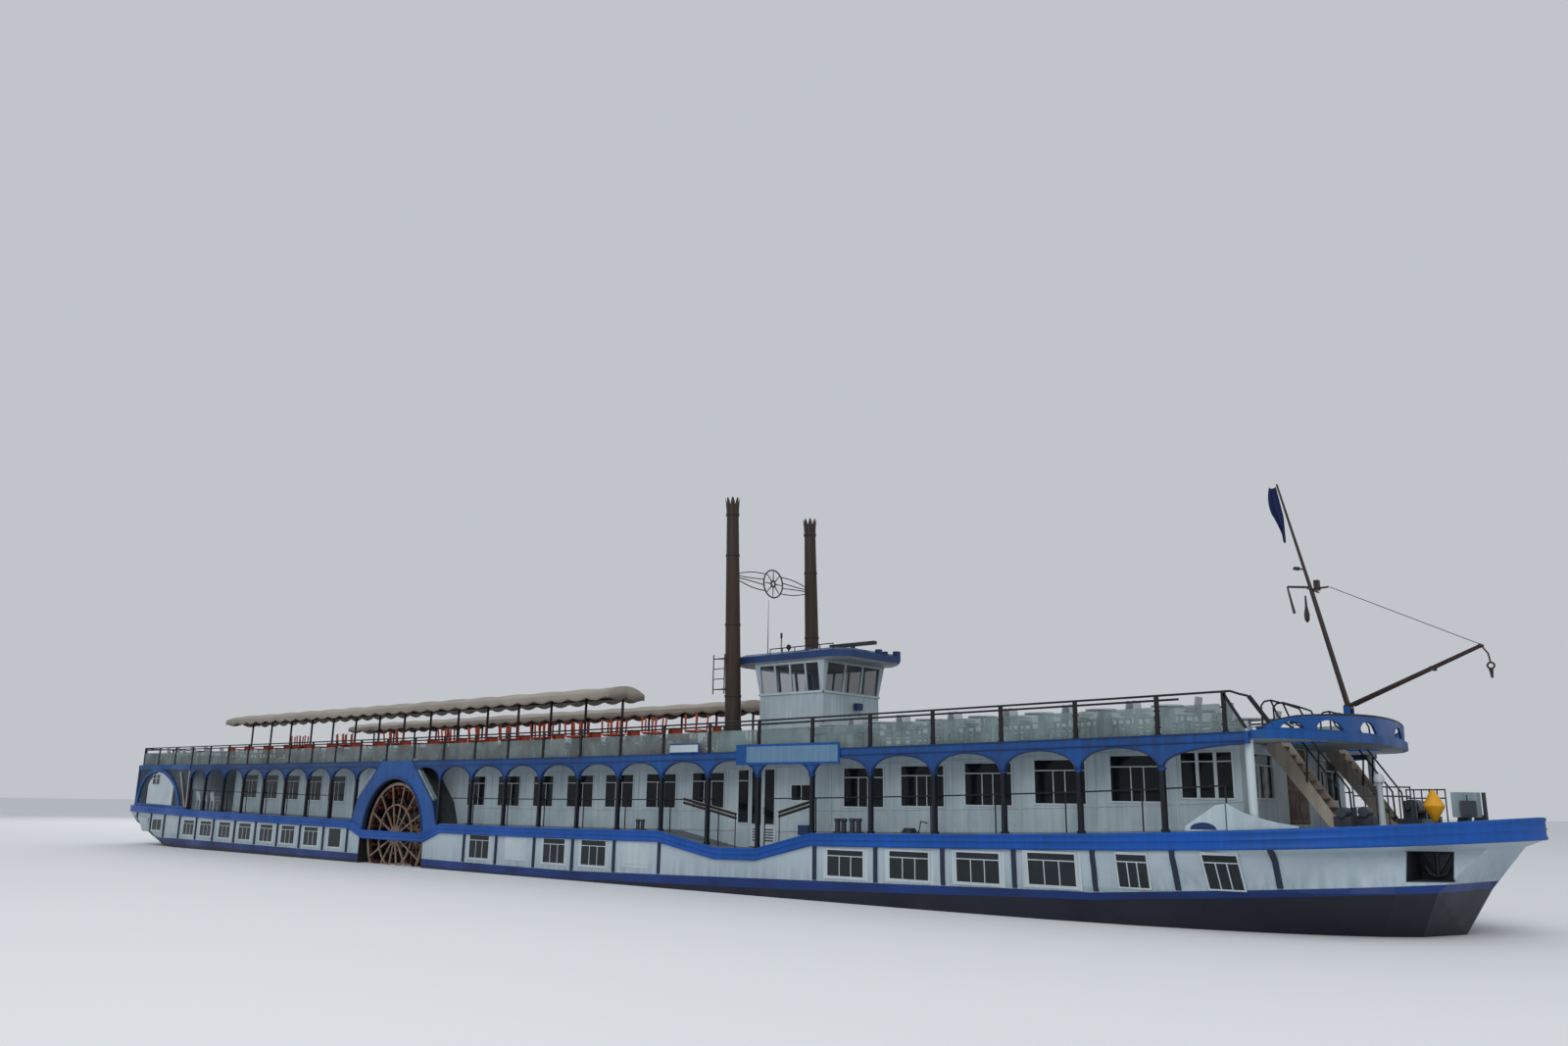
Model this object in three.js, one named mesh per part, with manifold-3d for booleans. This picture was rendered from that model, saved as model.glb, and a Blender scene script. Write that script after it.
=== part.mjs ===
// Paddle steamer: a 1:2 scale model of a 67 m excursion boat with side paddle wheels.
// Millimetres. +X points to the bow, +Y to port and +Z up.
// The origin is amidships on the centreline, at the waterline.
import Module from 'manifold-3d';
import * as THREE from 'three';
import { mergeVertices } from 'three/addons/utils/BufferGeometryUtils.js';

const wasm = await Module();
wasm.setup();

// Driving dimensions.
const halfLength = 16750;
const halfBeam = 2250;
const draught = 650;
const bay = 1045; // spacing of the gallery posts along the side
const postZero = -10554.5; // place of gallery post number 0
const gap = 0.3; // between pieces that touch
const deckLow = 830; // main deck edge amidships
const deckRise = { aft: 198, fore: 300, stem: 145 };
const upperLow = 2025; // sun deck amidships
const upperRise = { aft: 45, fore: 160 };
const upperThick = 80;
const galleryInner = 2190; // plane of the gallery posts, inboard face
const saloonOuter = 1750; // outboard face of the saloon's side walls
const wallThick = 40;
const wheelCentre = { x: -2750, z: 565 };
const recess = { aft: -3930, fore: -1570, inner: 1600 }; // open wells in the hull for the wheels

const postX = (number) => postZero + number * bay;
const sides = [
  { name: 'starboard', sign: -1 },
  { name: 'port', sign: 1 },
];

// Colours and finishes.
const finishes = {
  white: { color: 0xe4e8ea, roughness: 0.45, metalness: 0 },
  blue: { color: 0x1b66c9, roughness: 0.4, metalness: 0 },
  navy: { color: 0x1d2a4a, roughness: 0.5, metalness: 0 },
  black: { color: 0x17181c, roughness: 0.55, metalness: 0.2 },
  red: { color: 0x6b1f1c, roughness: 0.6, metalness: 0 },
  canvas: { color: 0xc9c2ae, roughness: 0.9, metalness: 0 },
  deck: { color: 0x6c7a80, roughness: 0.8, metalness: 0 },
};

const ship = new THREE.Group();

// Solid helpers.
function toSolid(geometry) {
  const bare = geometry.clone();
  bare.deleteAttribute('normal');
  bare.deleteAttribute('uv');
  const merged = mergeVertices(bare, 1e-3);
  return new wasm.Manifold(new wasm.Mesh({
    numProp: 3,
    vertProperties: new Float32Array(merged.attributes.position.array),
    triVerts: new Uint32Array(merged.index.array),
  }));
}

function toGeometry(solid) {
  const mesh = solid.getMesh();
  const geometry = new THREE.BufferGeometry();
  geometry.setAttribute('position', new THREE.BufferAttribute(new Float32Array(mesh.vertProperties), 3));
  geometry.setIndex(new THREE.BufferAttribute(new Uint32Array(mesh.triVerts), 1));
  geometry.computeVertexNormals();
  return geometry;
}

const join = (solids) => solids.reduce((total, solid) => total.add(solid));
const cut = (solid, cutters) => cutters.reduce((rest, cutter) => rest.subtract(cutter), solid);

// Cuts a solid back from its neighbour, with a small gap on every side.
function clear(solid, neighbour, space = gap) {
  const shifts = [[1, 0, 0], [-1, 0, 0], [0, 1, 0], [0, -1, 0], [0, 0, 1], [0, 0, -1]];
  return cut(solid, shifts.map((shift) => neighbour.translate(shift.map((part) => part * space))));
}

function add(name, solid, finish) {
  const material = new THREE.MeshStandardMaterial(finishes[finish]);
  const mesh = new THREE.Mesh(toGeometry(solid), material);
  mesh.name = name;
  ship.add(mesh);
  return solid;
}

function box(x0, x1, y0, y1, z0, z1) {
  const geometry = new THREE.BoxGeometry(x1 - x0, y1 - y0, z1 - z0);
  geometry.translate((x0 + x1) / 2, (y0 + y1) / 2, (z0 + z1) / 2);
  return toSolid(geometry);
}

// The same box on either side of the ship, with its breadth measured outboard from the centreline.
function sideBox(side, x0, x1, inner, outer, z0, z1) {
  return side.sign > 0 ? box(x0, x1, inner, outer, z0, z1) : box(x0, x1, -outer, -inner, z0, z1);
}

const toShape = (points) => new THREE.Shape(points.map(([u, v]) => new THREE.Vector2(u, v)));

// A side elevation, given as points of x and z, made solid between two breadths.
function elevation(side, points, inner, outer, holes = []) {
  const geometry = new THREE.ExtrudeGeometry(toShape(points), { depth: outer - inner, bevelEnabled: false });
  geometry.rotateX(Math.PI / 2);
  geometry.translate(0, side.sign > 0 ? outer : -inner, 0);
  return cut(toSolid(geometry), holes.map((hole) => elevation(side, hole, inner - 5, outer + 5)));
}

// A cross section, given as points of y and z, made solid between two places along the ship.
function crossSection(points, x0, x1, holes = []) {
  const geometry = new THREE.ExtrudeGeometry(toShape(points), { depth: x1 - x0, bevelEnabled: false });
  const turn = new THREE.Matrix4().makeBasis(
    new THREE.Vector3(0, 1, 0),
    new THREE.Vector3(0, 0, 1),
    new THREE.Vector3(1, 0, 0),
  );
  geometry.applyMatrix4(turn);
  geometry.translate(x0, 0, 0);
  return cut(toSolid(geometry), holes.map((hole) => crossSection(hole, x0 - 5, x1 + 5)));
}

const rectangle = (u0, u1, v0, v1) => [[u0, v0], [u1, v0], [u1, v1], [u0, v1]];

// Skins a row of rings that have the same even number of points, and closes both ends.
function skin(rings) {
  const count = rings[0].length;
  const last = (rings.length - 1) * count;
  const indices = [];
  for (let ring = 0; ring < last; ring += count) {
    for (let k = 0; k < count; k += 1) {
      const a = ring + k;
      const b = ring + (k + 1) % count;
      indices.push(a, b, b + count, a, b + count, a + count);
    }
  }
  for (let k = 0; k < count / 2 - 1; k += 1) {
    const far = count - 1 - k;
    indices.push(k, far - 1, k + 1, k, far, far - 1);
    indices.push(last + k, last + k + 1, last + far - 1, last + k, last + far - 1, last + far);
  }
  const positions = rings.flat(2);
  let volume = 0;
  const corner = (index) => new THREE.Vector3().fromArray(positions, index * 3);
  for (let k = 0; k < indices.length; k += 3) {
    const [a, b, c] = indices.slice(k, k + 3).map(corner);
    volume += a.dot(b.cross(c));
  }
  if (volume < 0) indices.reverse();
  const geometry = new THREE.BufferGeometry();
  geometry.setAttribute('position', new THREE.Float32BufferAttribute(positions, 3));
  geometry.setIndex(indices);
  return toSolid(geometry);
}

// A round bar between two points, which may taper.
function bar(start, end, startRadius, endRadius = startRadius, faces = 8) {
  const from = new THREE.Vector3(...start);
  const to = new THREE.Vector3(...end);
  const geometry = new THREE.CylinderGeometry(endRadius, startRadius, from.distanceTo(to), faces);
  const up = new THREE.Vector3(0, 1, 0);
  geometry.applyQuaternion(new THREE.Quaternion().setFromUnitVectors(up, to.clone().sub(from).normalize()));
  const middle = from.add(to).multiplyScalar(0.5);
  geometry.translate(middle.x, middle.y, middle.z);
  return toSolid(geometry);
}

// A turned shape about a vertical axis, from points of radius and height.
function turned(profile, x, y, z, faces) {
  const geometry = new THREE.LatheGeometry(profile.map(([r, h]) => new THREE.Vector2(r, h)), faces);
  geometry.rotateX(Math.PI / 2);
  geometry.translate(x, y, z);
  return toSolid(geometry);
}

// Heights of the deck edges.
function sheer(x) {
  const share = Math.abs(x) / halfLength;
  const fore = deckRise.fore * share ** 2 + deckRise.stem * share ** 8;
  return deckLow + (x < 0 ? deckRise.aft * share ** 2 : fore);
}

function upperSheer(x) {
  const share = Math.abs(x) / halfLength;
  return upperLow + (x < 0 ? upperRise.aft : upperRise.fore) * share ** 2;
}

const beltDepth = (x) => 170 + (x > 0 ? 70 * (x / halfLength) ** 4 : 0);

// Hull form. Each level runs from stern to bow at its own height, and is full between its two runs.
// Columns: height, stern end, bow end, length of the run aft, length of the run forward, half breadth,
// half breadth at the stern end, fullness aft (power, root), fullness forward (power, root).
const stemHalf = 25;
const hullLevels = [
  [() => -draught, -13200, 14900, 5000, 8500, 1850, 100, 2, 0.8, 2, 1],
  [() => -draught + 90, -13700, 15200, 5000, 8700, 2130, 150, 2, 0.8, 2, 1],
  [() => -draught + 300, -14600, 15550, 4600, 8000, 2240, 250, 2.1, 0.7, 2, 0.8],
  [() => 0, -15800, 15900, 3000, 6500, halfBeam, 500, 2.2, 0.6, 2.6, 0.5],
  [(x) => (sheer(x) - beltDepth(x)) / 2, -16400, 16200, 1700, 6200, halfBeam, 650, 2.4, 0.5, 3.4, 0.35],
  [(x) => sheer(x) - beltDepth(x) - 60, -halfLength, 16570, 900, 2500, halfBeam, 700, 2.4, 0.45, 1.5, 0.85],
  [(x) => sheer(x) - beltDepth(x), -halfLength, halfLength, 900, 2400, halfBeam, 700, 2.4, 0.45, 1.5, 0.8],
  [sheer, -halfLength, halfLength, 900, 2400, halfBeam, 700, 2.4, 0.45, 1.5, 0.8],
];
const hullStations = [
  0, 0.003, 0.009, 0.018, 0.027, 0.05, 0.09, 0.14, 0.22, 0.35, 0.5, 0.62,
  0.7, 0.76, 0.82, 0.87, 0.905, 0.928, 0.942, 0.956, 0.97, 0.982, 0.992, 1,
];

function levelPoint(level, station) {
  const [height, stern, bow, runAft, runFore, half, sternHalf, ...curves] = level;
  const [powerAft, rootAft, powerFore, rootFore] = curves;
  const x = stern + (bow - stern) * station;
  const aft = Math.min(Math.max((stern + runAft - x) / runAft, 0), 1);
  const fore = Math.min(Math.max((x - bow + runFore) / runFore, 0), 1);
  const sternShape = Math.max(half * (1 - aft ** powerAft) ** rootAft, aft > 0 ? sternHalf : 0);
  const bowShape = stemHalf + (half - stemHalf) * (1 - fore ** powerFore) ** rootFore;
  return [x, Math.min(sternShape, bowShape), height(x)];
}

const hullRings = hullStations.map((station) => {
  const port = hullLevels.map((level) => levelPoint(level, station));
  const starboard = port.map(([x, y, z]) => [x, -y, z]).reverse();
  return [...port, ...starboard];
});
const deckEdge = hullStations.map((station) => levelPoint(hullLevels[hullLevels.length - 1], station));

// Reads a height off a polyline of points of x, y and z.
function heightOn(line, x) {
  const found = line.findIndex((point) => point[0] >= x);
  const next = found < 0 ? line.length - 1 : Math.max(found, 1);
  const [x0, , z0] = line[next - 1];
  const [x1, , z1] = line[next];
  return z0 + (z1 - z0) * (x - x0) / (x1 - x0);
}

// The deck edge dips below the paddle boxes and at the gangways.
// Columns: slope starts, dip starts, dip ends, slope ends, depth.
const dips = [
  [-4400, -3800, -1550, -1000, 185],
  [postX(15), postX(16.2), postX(17), postX(18), 225],
];

function dipAt(x) {
  return dips.reduce((depth, [a, b, c, d, full]) => {
    const share = Math.min((x - a) / (b - a), (d - x) / (d - c), 1);
    return depth + full * Math.max(share, 0);
  }, 0);
}

const dipCorners = dips.flatMap((dip) => dip.slice(0, 4));
const deckAt = (x) => heightOn(deckEdge, x);
const edgeAt = (x) => deckAt(x) - dipAt(x);

// Points of x and z along a height function, with a corner wherever the deck edge has one.
function lineOf(heightAt, x0, x1, rise = 0) {
  const corners = [...deckEdge.map((point) => point[0]), ...dipCorners, ...upperStations];
  const inner = corners.filter((x) => x > x0 + 1 && x < x1 - 1).sort((a, b) => a - b);
  return [x0, ...inner, x1].map((x) => [x, heightAt(x) + rise]);
}

// Sun deck outline: straight sides, rounded stern corners and a bowed front.
const upperStart = -16000;
const upperStraight = { aft: -15800, fore: 14500 };
const upperTip = 15300;
const upperHalf = 2189.7;
const bowedShares = [0.04, 0.16, 0.32, 0.48, 0.63, 0.76, 0.87, 0.95, 0.99];
const upperStations = [
  upperStart, upperStraight.aft, -12000, -8000, -4000, 0, 4000, 8000, 11000, upperStraight.fore,
];
const upperEdge = [
  [upperStart, upperHalf - 250],
  ...upperStations.slice(1).map((x) => [x, upperHalf]),
  ...bowedShares.map((share) => [
    upperStraight.fore + (upperTip - upperStraight.fore) * share,
    upperHalf * Math.sqrt(1 - share ** 2),
  ]),
].map(([x, y]) => [x, y, upperSheer(x)]);
const upperAt = (x) => heightOn(upperEdge, x);
const ceilingAt = (x) => upperAt(x) - upperThick;

// Hull: one body of three blocks, with a well for a paddle wheel on each side of the middle block.
function dipCutter(side, [start, , , end]) {
  const top = deckAt(start) + 300;
  return elevation(side, [[start, top], ...lineOf(edgeAt, start, end), [end, top]], 1700, halfBeam + 200);
}

const dipCutters = sides.flatMap((side) => dips.map((dip) => dipCutter(side, dip)));
const shaftHole = { radius: 75, depth: 120 };
const shaftHoles = sides.map((side) => {
  const inner = side.sign * (recess.inner - shaftHole.depth);
  const outer = side.sign * (recess.inner + 50);
  const { x, z } = wheelCentre;
  return bar([x, inner, z], [x, outer, z], shaftHole.radius, shaftHole.radius, 16);
});
const rudder = {
  x: -14650, y: 750, fore: 120, aft: 400, foot: -630, head: -440, half: 22,
  stock: 40, stockTop: 20, trunk: 46,
};
const rudderTrunks = sides.map((side) => {
  const { x, y, trunk } = rudder;
  const top = rudder.stockTop + 10;
  return bar([x, side.sign * y, rudder.foot], [x, side.sign * y, top], trunk, trunk, 24);
});
const anchorPocket = { aft: 15700, fore: 16050, inner: 750, bottom: 600, top: 900 };
const pockets = sides.map((side) => {
  const { aft, fore, inner, bottom, top } = anchorPocket;
  return sideBox(side, aft, fore, inner, halfBeam + 200, bottom, top);
});
const wholeHull = cut(skin(hullRings), [...dipCutters, ...pockets]);
const wide = halfBeam + 500;
const tall = 4000;
const foreBlock = box(recess.fore + gap / 2, halfLength + 500, -wide, wide, -tall, tall);
const aftBlock = box(-halfLength - 500, recess.aft - gap / 2, -wide, wide, -tall, tall);
const waistBlock = box(recess.aft + gap / 2, recess.fore - gap / 2, -recess.inner, recess.inner, -tall, tall);
add('hull_fore', wholeHull.intersect(foreBlock), 'white');
add('hull_waist', cut(wholeHull.intersect(waistBlock), shaftHoles), 'white');
add('hull_aft', cut(wholeHull.intersect(aftBlock), rudderTrunks), 'white');

// Belt: the rubbing strake round the deck edge, one length on each side.
const beltThick = 45;

function offsetLine(points, distance) {
  return points.map(([x, y], index) => {
    const before = points[Math.max(index - 1, 0)];
    const after = points[Math.min(index + 1, points.length - 1)];
    const here = new THREE.Vector2(x, y);
    const into = new THREE.Vector2(x - before[0], y - before[1]);
    const out = new THREE.Vector2(after[0] - x, after[1] - y);
    if (into.length() === 0) into.copy(out);
    if (out.length() === 0) out.copy(into);
    const normal = (way) => new THREE.Vector2(way.y, -way.x).normalize();
    const mitre = normal(into).add(normal(out)).normalize();
    const reach = distance / Math.max(mitre.dot(normal(into)), 0.3);
    return here.add(mitre.multiplyScalar(reach)).toArray();
  });
}

function beltPath() {
  const corners = dipCorners.map((x) => [x, halfBeam]);
  const edge = [...deckEdge.map(([x, y]) => [x, y]), ...corners].sort((a, b) => a[0] - b[0]);
  return [[-halfLength, 0], ...edge.map(([x, y]) => [x, -y]), [halfLength, 0]];
}

const starboardPath = beltPath();
const beltInner = offsetLine(starboardPath, gap);
const beltOuter = offsetLine(starboardPath, beltThick);
const beltRings = starboardPath.map(([x], index) => {
  const top = edgeAt(x);
  const bottom = top - beltDepth(x);
  const [innerX, innerY] = beltInner[index];
  const [outerX, outerY] = beltOuter[index];
  return [[outerX, outerY, bottom], [outerX, outerY, top], [innerX, innerY, top], [innerX, innerY, bottom]];
});
const starboardHalf = box(-halfLength - 200, halfLength + 200, -wide, -gap / 2, -tall, tall);
const starboardBelt = skin(beltRings).intersect(starboardHalf);
sides.forEach((side) => {
  const belt = side.sign < 0 ? starboardBelt : starboardBelt.mirror([0, 1, 0]);
  add(`belt_${side.name}`, belt, 'blue');
});

// Sun deck, with a hatch over each foredeck stair.
const stair = { top: 14300, foot: 14985, inner: 820, outer: 1180 };
const hatches = sides.map((side) => (
  sideBox(side, stair.top - 40, stair.foot - 90, stair.inner - 10, stair.outer + 10, 1500, 3000)
));
const upperRings = upperEdge.map(([x, y, z]) => (
  [[x, y, z - upperThick], [x, y, z], [x, -y, z], [x, -y, z - upperThick]]
));
const sunDeck = add('sun_deck', cut(skin(upperRings), hatches), 'deck');

// Gallery frames: posts and arches in one flat frame along each side.
const postHalf = 28;
const archRise = { spring: 360, crown: 125 }; // below the sun deck's edge
// Half widths of a paddle box, the height where its sides turn steeper, and the radius of its arch.
const paddleBox = { base: 1640, shoulder: 1390, shoulderZ: 1235, top: 545, opening: 1113 };

function archOpening(side, x0, x1, from = -1, to = 1) {
  const middle = (from + to) / 2;
  const steps = 6;
  const top = upperAt((x0 + x1) / 2);
  const arch = Array.from({ length: steps + 1 }, (_, k) => {
    const share = from + (to - from) * k / steps;
    const rise = (archRise.spring - archRise.crown) * Math.sqrt(Math.max(1 - share ** 2, 0));
    return [x0 + (x1 - x0) * k / steps, top - archRise.spring + rise];
  });
  return elevation(side, [[x0, 0], ...arch, [x1, 0]], galleryInner - 50, halfBeam + 50);
}

function paddleOutline(side, inner, outer, grow = 0) {
  const { x } = wheelCentre;
  const bottom = edgeAt(x);
  const top = upperAt(x);
  const outline = [
    [x - paddleBox.base - grow, bottom - 400],
    [x + paddleBox.base + grow, bottom - 400],
    [x + paddleBox.base + grow, bottom],
    [x + paddleBox.shoulder + grow, paddleBox.shoulderZ],
    [x + paddleBox.top + grow, top + grow],
    [x - paddleBox.top - grow, top + grow],
    [x - paddleBox.shoulder - grow, paddleBox.shoulderZ],
    [x - paddleBox.base - grow, bottom],
  ];
  return elevation(side, outline, inner, outer);
}

function galleryFrame(side, first, last, x0, x1) {
  const outline = [...lineOf(upperAt, x0, x1), ...lineOf(edgeAt, x0, x1, gap).reverse()];
  const openings = [];
  for (let post = first; post < last; post += 1) {
    openings.push(archOpening(side, postX(post) + postHalf, postX(post + 1) - postHalf));
  }
  const plate = elevation(side, outline, galleryInner, halfBeam);
  return cut(plate, openings);
}

const galleryAft = -12500;
sides.forEach((side) => {
  const boxSpace = paddleOutline(side, galleryInner - 20, halfBeam + 20, 1);
  const aft = galleryFrame(side, -1, 7, galleryAft, wheelCentre.x);
  const aftBay = archOpening(side, galleryAft + 2 * postHalf, postX(-1) - postHalf);
  add(`gallery_aft_${side.name}`, cut(aft, [aftBay, boxSpace]), 'blue');
  const fore = galleryFrame(side, 8, 23, wheelCentre.x, postX(23) + bay - postHalf);
  const endBay = archOpening(side, postX(23) + postHalf, postX(24) + postHalf, -1, 0);
  add(`gallery_fore_${side.name}`, cut(fore, [endBay, boxSpace]), 'blue');
});

// Paddle boxes: an outer face with a round arch, two slanted end walls and an inner wall.
sides.forEach((side) => {
  const { x, z } = wheelCentre;
  const face = paddleOutline(side, galleryInner, halfBeam);
  const shell = paddleOutline(side, recess.inner - wallThick, galleryInner + 10);
  const hollow = elevation(side, [
    [x - paddleBox.base + 55, edgeAt(x) - 500],
    [x + paddleBox.base - 55, edgeAt(x) - 500],
    [x + paddleBox.base - 55, edgeAt(x)],
    [x + paddleBox.shoulder - 55, paddleBox.shoulderZ - 20],
    [x + paddleBox.top + 60, upperAt(x) - 130],
    [x - paddleBox.top - 60, upperAt(x) - 130],
    [x - paddleBox.shoulder + 55, paddleBox.shoulderZ - 20],
    [x - paddleBox.base + 55, edgeAt(x)],
  ], recess.inner - gap, galleryInner + 5);
  const arch = bar([x, side.sign * (galleryInner - 100), z], [x, side.sign * wide, z],
    paddleBox.opening, paddleBox.opening, 40);
  const whole = cut(join([face, shell]), [hollow, arch]);
  const under = elevation(side, [
    ...lineOf(ceilingAt, -5000, -800, -gap), [-800, 3000], [-5000, 3000],
  ], 0, galleryInner - gap);
  const below = box(-5000, -800, -wide, wide, -500, edgeAt(x) + gap);
  add(`paddle_box_${side.name}`, clear(cut(whole, [under, below]), wholeHull), 'blue');
});

// Paddle wheels: two spoked frames joined by the floats, on a shaft that runs into the hull.
const wheel = { radius: 1050, rim: 900, rimWidth: 60, inner: 1660, outer: 2160, spokes: 14, spokeHalf: 16 };
const shaft = { radius: 70, hub: 160, frame: 28 };

// One spoked frame: a disc with a hole between each pair of spokes.
function wheelFrame(side, inner) {
  const { x, z } = wheelCentre;
  const step = (Math.PI * 2) / wheel.spokes;
  const at = (radius, angle) => new THREE.Vector2(x + radius * Math.cos(angle), z + radius * Math.sin(angle));
  const outline = Array.from({ length: wheel.spokes * 2 }, (_, k) => at(wheel.rim, step * k / 2));
  const shape = new THREE.Shape(outline);
  const rimInner = wheel.rim - wheel.rimWidth;
  for (let k = 0; k < wheel.spokes; k += 1) {
    const [start, end] = [step * k, step * (k + 1)];
    const lean = (radius) => Math.asin(wheel.spokeHalf / radius);
    shape.holes.push(new THREE.Path([
      at(shaft.hub + 20, start + lean(shaft.hub + 20)),
      at(rimInner, start + lean(rimInner)),
      at(rimInner * 1.01, (start + end) / 2),
      at(rimInner, end - lean(rimInner)),
      at(shaft.hub + 20, end - lean(shaft.hub + 20)),
    ]));
  }
  const geometry = new THREE.ExtrudeGeometry(shape, { depth: shaft.frame, bevelEnabled: false });
  geometry.rotateX(Math.PI / 2);
  geometry.translate(0, side.sign > 0 ? inner + shaft.frame : -inner, 0);
  return toSolid(geometry);
}

function paddleWheel(side) {
  const { x, z } = wheelCentre;
  const pieces = [wheelFrame(side, wheel.inner), wheelFrame(side, wheel.outer - shaft.frame)];
  for (let k = 0; k < wheel.spokes; k += 1) {
    const float = new THREE.BoxGeometry(250, wheel.outer - wheel.inner - 10, 22);
    float.translate(wheel.radius - 128, side.sign * (wheel.inner + wheel.outer) / 2, 0);
    float.rotateY(-(k + 0.5) * Math.PI * 2 / wheel.spokes);
    float.translate(x, 0, z);
    pieces.push(toSolid(float));
  }
  const along = (inner, outer, radius, faces) => (
    bar([x, side.sign * inner, z], [x, side.sign * outer, z], radius, radius, faces)
  );
  pieces.push(along(wheel.inner - 5, wheel.outer + 10, shaft.hub, 14));
  pieces.push(along(recess.inner - shaftHole.depth + 6, wheel.inner + 10, shaft.radius, 16));
  return join(pieces);
}

sides.forEach((side) => add(`paddle_wheel_${side.name}`, paddleWheel(side), 'red'));

// Saloon: side walls with windows, a pair of doors on each side, and end walls.
const window = { sill: 360, head: 890, width: 700 };
const entrance = { aft: 6612, fore: 7150, height: 1190 };
const sideLight = { aft: 6350, fore: 6592, bottom: 350, top: 1145 }; // a fixed pane beside each entrance
const saloon = { aft: -11000, fore: 14200 };
const frontScreen = { aft: 13480, fore: 14120, bottom: 370, top: 880 }; // glazed part of the side walls

// Windows of the side walls. Columns: middle in bays along the gallery, width, and the sill and head
// where they differ from the others.
const windowRows = {
  aft: [0.4, 1.4, 2.4, 3.4, 4.4].map((place) => [place, window.width]),
  fore: [
    [9.5, 560], [10.5, 660], [11.5, 560], [12.5, window.width], [13.5, window.width], [14.5, window.width],
    [15.55, window.width], [17.42, 385, 460, 675], [18.53, window.width], [19.5, window.width],
    [20.5, window.width], [21.5, window.width], [22.5, window.width],
  ],
};

function windowHoles(row) {
  return row.map(([place, width, sill = window.sill, head = window.head]) => {
    const middle = postX(place);
    const floor = deckAt(middle);
    return rectangle(middle - width / 2, middle + width / 2, floor + sill, floor + head);
  });
}

function saloonSide(side, x0, x1, row) {
  const outline = [...lineOf(ceilingAt, x0, x1, -gap), ...lineOf(edgeAt, x0, x1, gap).reverse()];
  return elevation(side, outline, saloonOuter - wallThick, saloonOuter, windowHoles(row));
}

sides.forEach((side) => {
  const inner = saloonOuter - wallThick - 50;
  const outer = saloonOuter + 50;
  const doorHead = edgeAt(entrance.aft) + entrance.height;
  const doorway = sideBox(side, entrance.aft, entrance.fore, inner, outer, 500, doorHead);
  const floor = deckAt(frontScreen.aft);
  const screen = sideBox(side, frontScreen.aft, frontScreen.fore, inner, outer,
    floor + frontScreen.bottom, floor + frontScreen.top);
  const threshold = edgeAt(sideLight.fore);
  const light = sideBox(side, sideLight.aft, sideLight.fore, inner, outer,
    threshold + sideLight.bottom, threshold + sideLight.top);
  const boxSpace = paddleOutline(side, inner, outer, 1);
  const aft = saloonSide(side, saloon.aft, wheelCentre.x, windowRows.aft);
  add(`saloon_aft_${side.name}`, aft.subtract(boxSpace), 'white');
  const fore = saloonSide(side, wheelCentre.x, saloon.fore, windowRows.fore);
  add(`saloon_fore_${side.name}`, cut(fore, [doorway, screen, light, boxSpace]), 'white');
});

function endWall(name, x0, x1, openings) {
  const half = saloonOuter - wallThick - gap;
  const bottom = Math.max(deckAt(x0), deckAt(x1)) + gap;
  const outline = rectangle(-half, half, bottom, ceilingAt((x0 + x1) / 2) - 3);
  add(name, crossSection(outline, x0, x1, openings), 'white');
}

const frontFloor = deckAt(saloon.fore);
endWall('saloon_front', saloon.fore - wallThick, saloon.fore, [
  rectangle(-1500, -800, frontFloor + 360, frontFloor + 850),
  rectangle(-350, 350, frontFloor + 60, frontFloor + 960),
  rectangle(800, 1500, frontFloor + 360, frontFloor + 850),
]);
const sternFloor = deckAt(saloon.aft);
endWall('saloon_back', saloon.aft, saloon.aft + wallThick, [
  rectangle(-1400, -700, sternFloor + 360, sternFloor + 850),
  rectangle(-300, 300, sternFloor + 60, sternFloor + 960),
  rectangle(700, 1400, sternFloor + 360, sternFloor + 850),
]);

// Entrance doors: two leaves on each side, hung at their outer edges.
const leafThick = 20;
const leafClear = 8;
sides.forEach((side) => {
  const middle = (entrance.aft + entrance.fore) / 2;
  const sill = edgeAt(middle) + leafClear;
  const head = edgeAt(middle) + entrance.height - leafClear;
  const leaves = [
    ['aft', entrance.aft + leafClear, middle - 3],
    ['fore', middle + 3, entrance.fore - leafClear],
  ];
  leaves.forEach(([end, x0, x1]) => {
    const outline = rectangle(x0, x1, sill, head);
    const pane = rectangle(x0 + 30, x1 - 30, sill + 345, head - 40);
    const leaf = elevation(side, outline, saloonOuter - leafThick, saloonOuter, [pane]);
    add(`door_${end}_${side.name}`, leaf, 'white');
  });
});

// Stern house: four walls on the after deck, with an arched panel outside each side wall.
const sternHouse = { aft: -15900, fore: -12540, half: 2150 };
const cabinDoor = { half: 300, bottom: 40, top: 950 };
const cabinWindow = { inner: 800, outer: 1500, bottom: 360, top: 850 };
const sternWindow = { aft: -14800, fore: -14350, bottom: 420, top: 700 };

function sternWalls() {
  const { aft, fore, half } = sternHouse;
  const floor = Math.max(deckAt(aft), deckAt(fore));
  const outer = sides.map((side) => elevation(side, [
    ...lineOf(ceilingAt, aft, fore, -gap),
    ...lineOf(deckAt, aft, fore, gap).reverse(),
  ], 0, half));
  const inside = box(aft + wallThick, fore - wallThick, wallThick - half, half - wallThick, 0, 3000);
  const doors = [fore, aft].map((x) => (
    box(x - 100, x + 100, -cabinDoor.half, cabinDoor.half, floor + cabinDoor.bottom, floor + cabinDoor.top)
  ));
  const windows = sides.map((side) => {
    const { inner, outer: far, bottom, top } = cabinWindow;
    return sideBox(side, aft - 100, aft + 100, inner, far, floor + bottom, floor + top);
  });
  const across = box(sternWindow.aft, sternWindow.fore, -half - 100, half + 100,
    floor + sternWindow.bottom, floor + sternWindow.top);
  return cut(join(outer), [inside, ...doors, ...windows, across]);
}

add('stern_house', sternWalls(), 'white');

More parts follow.
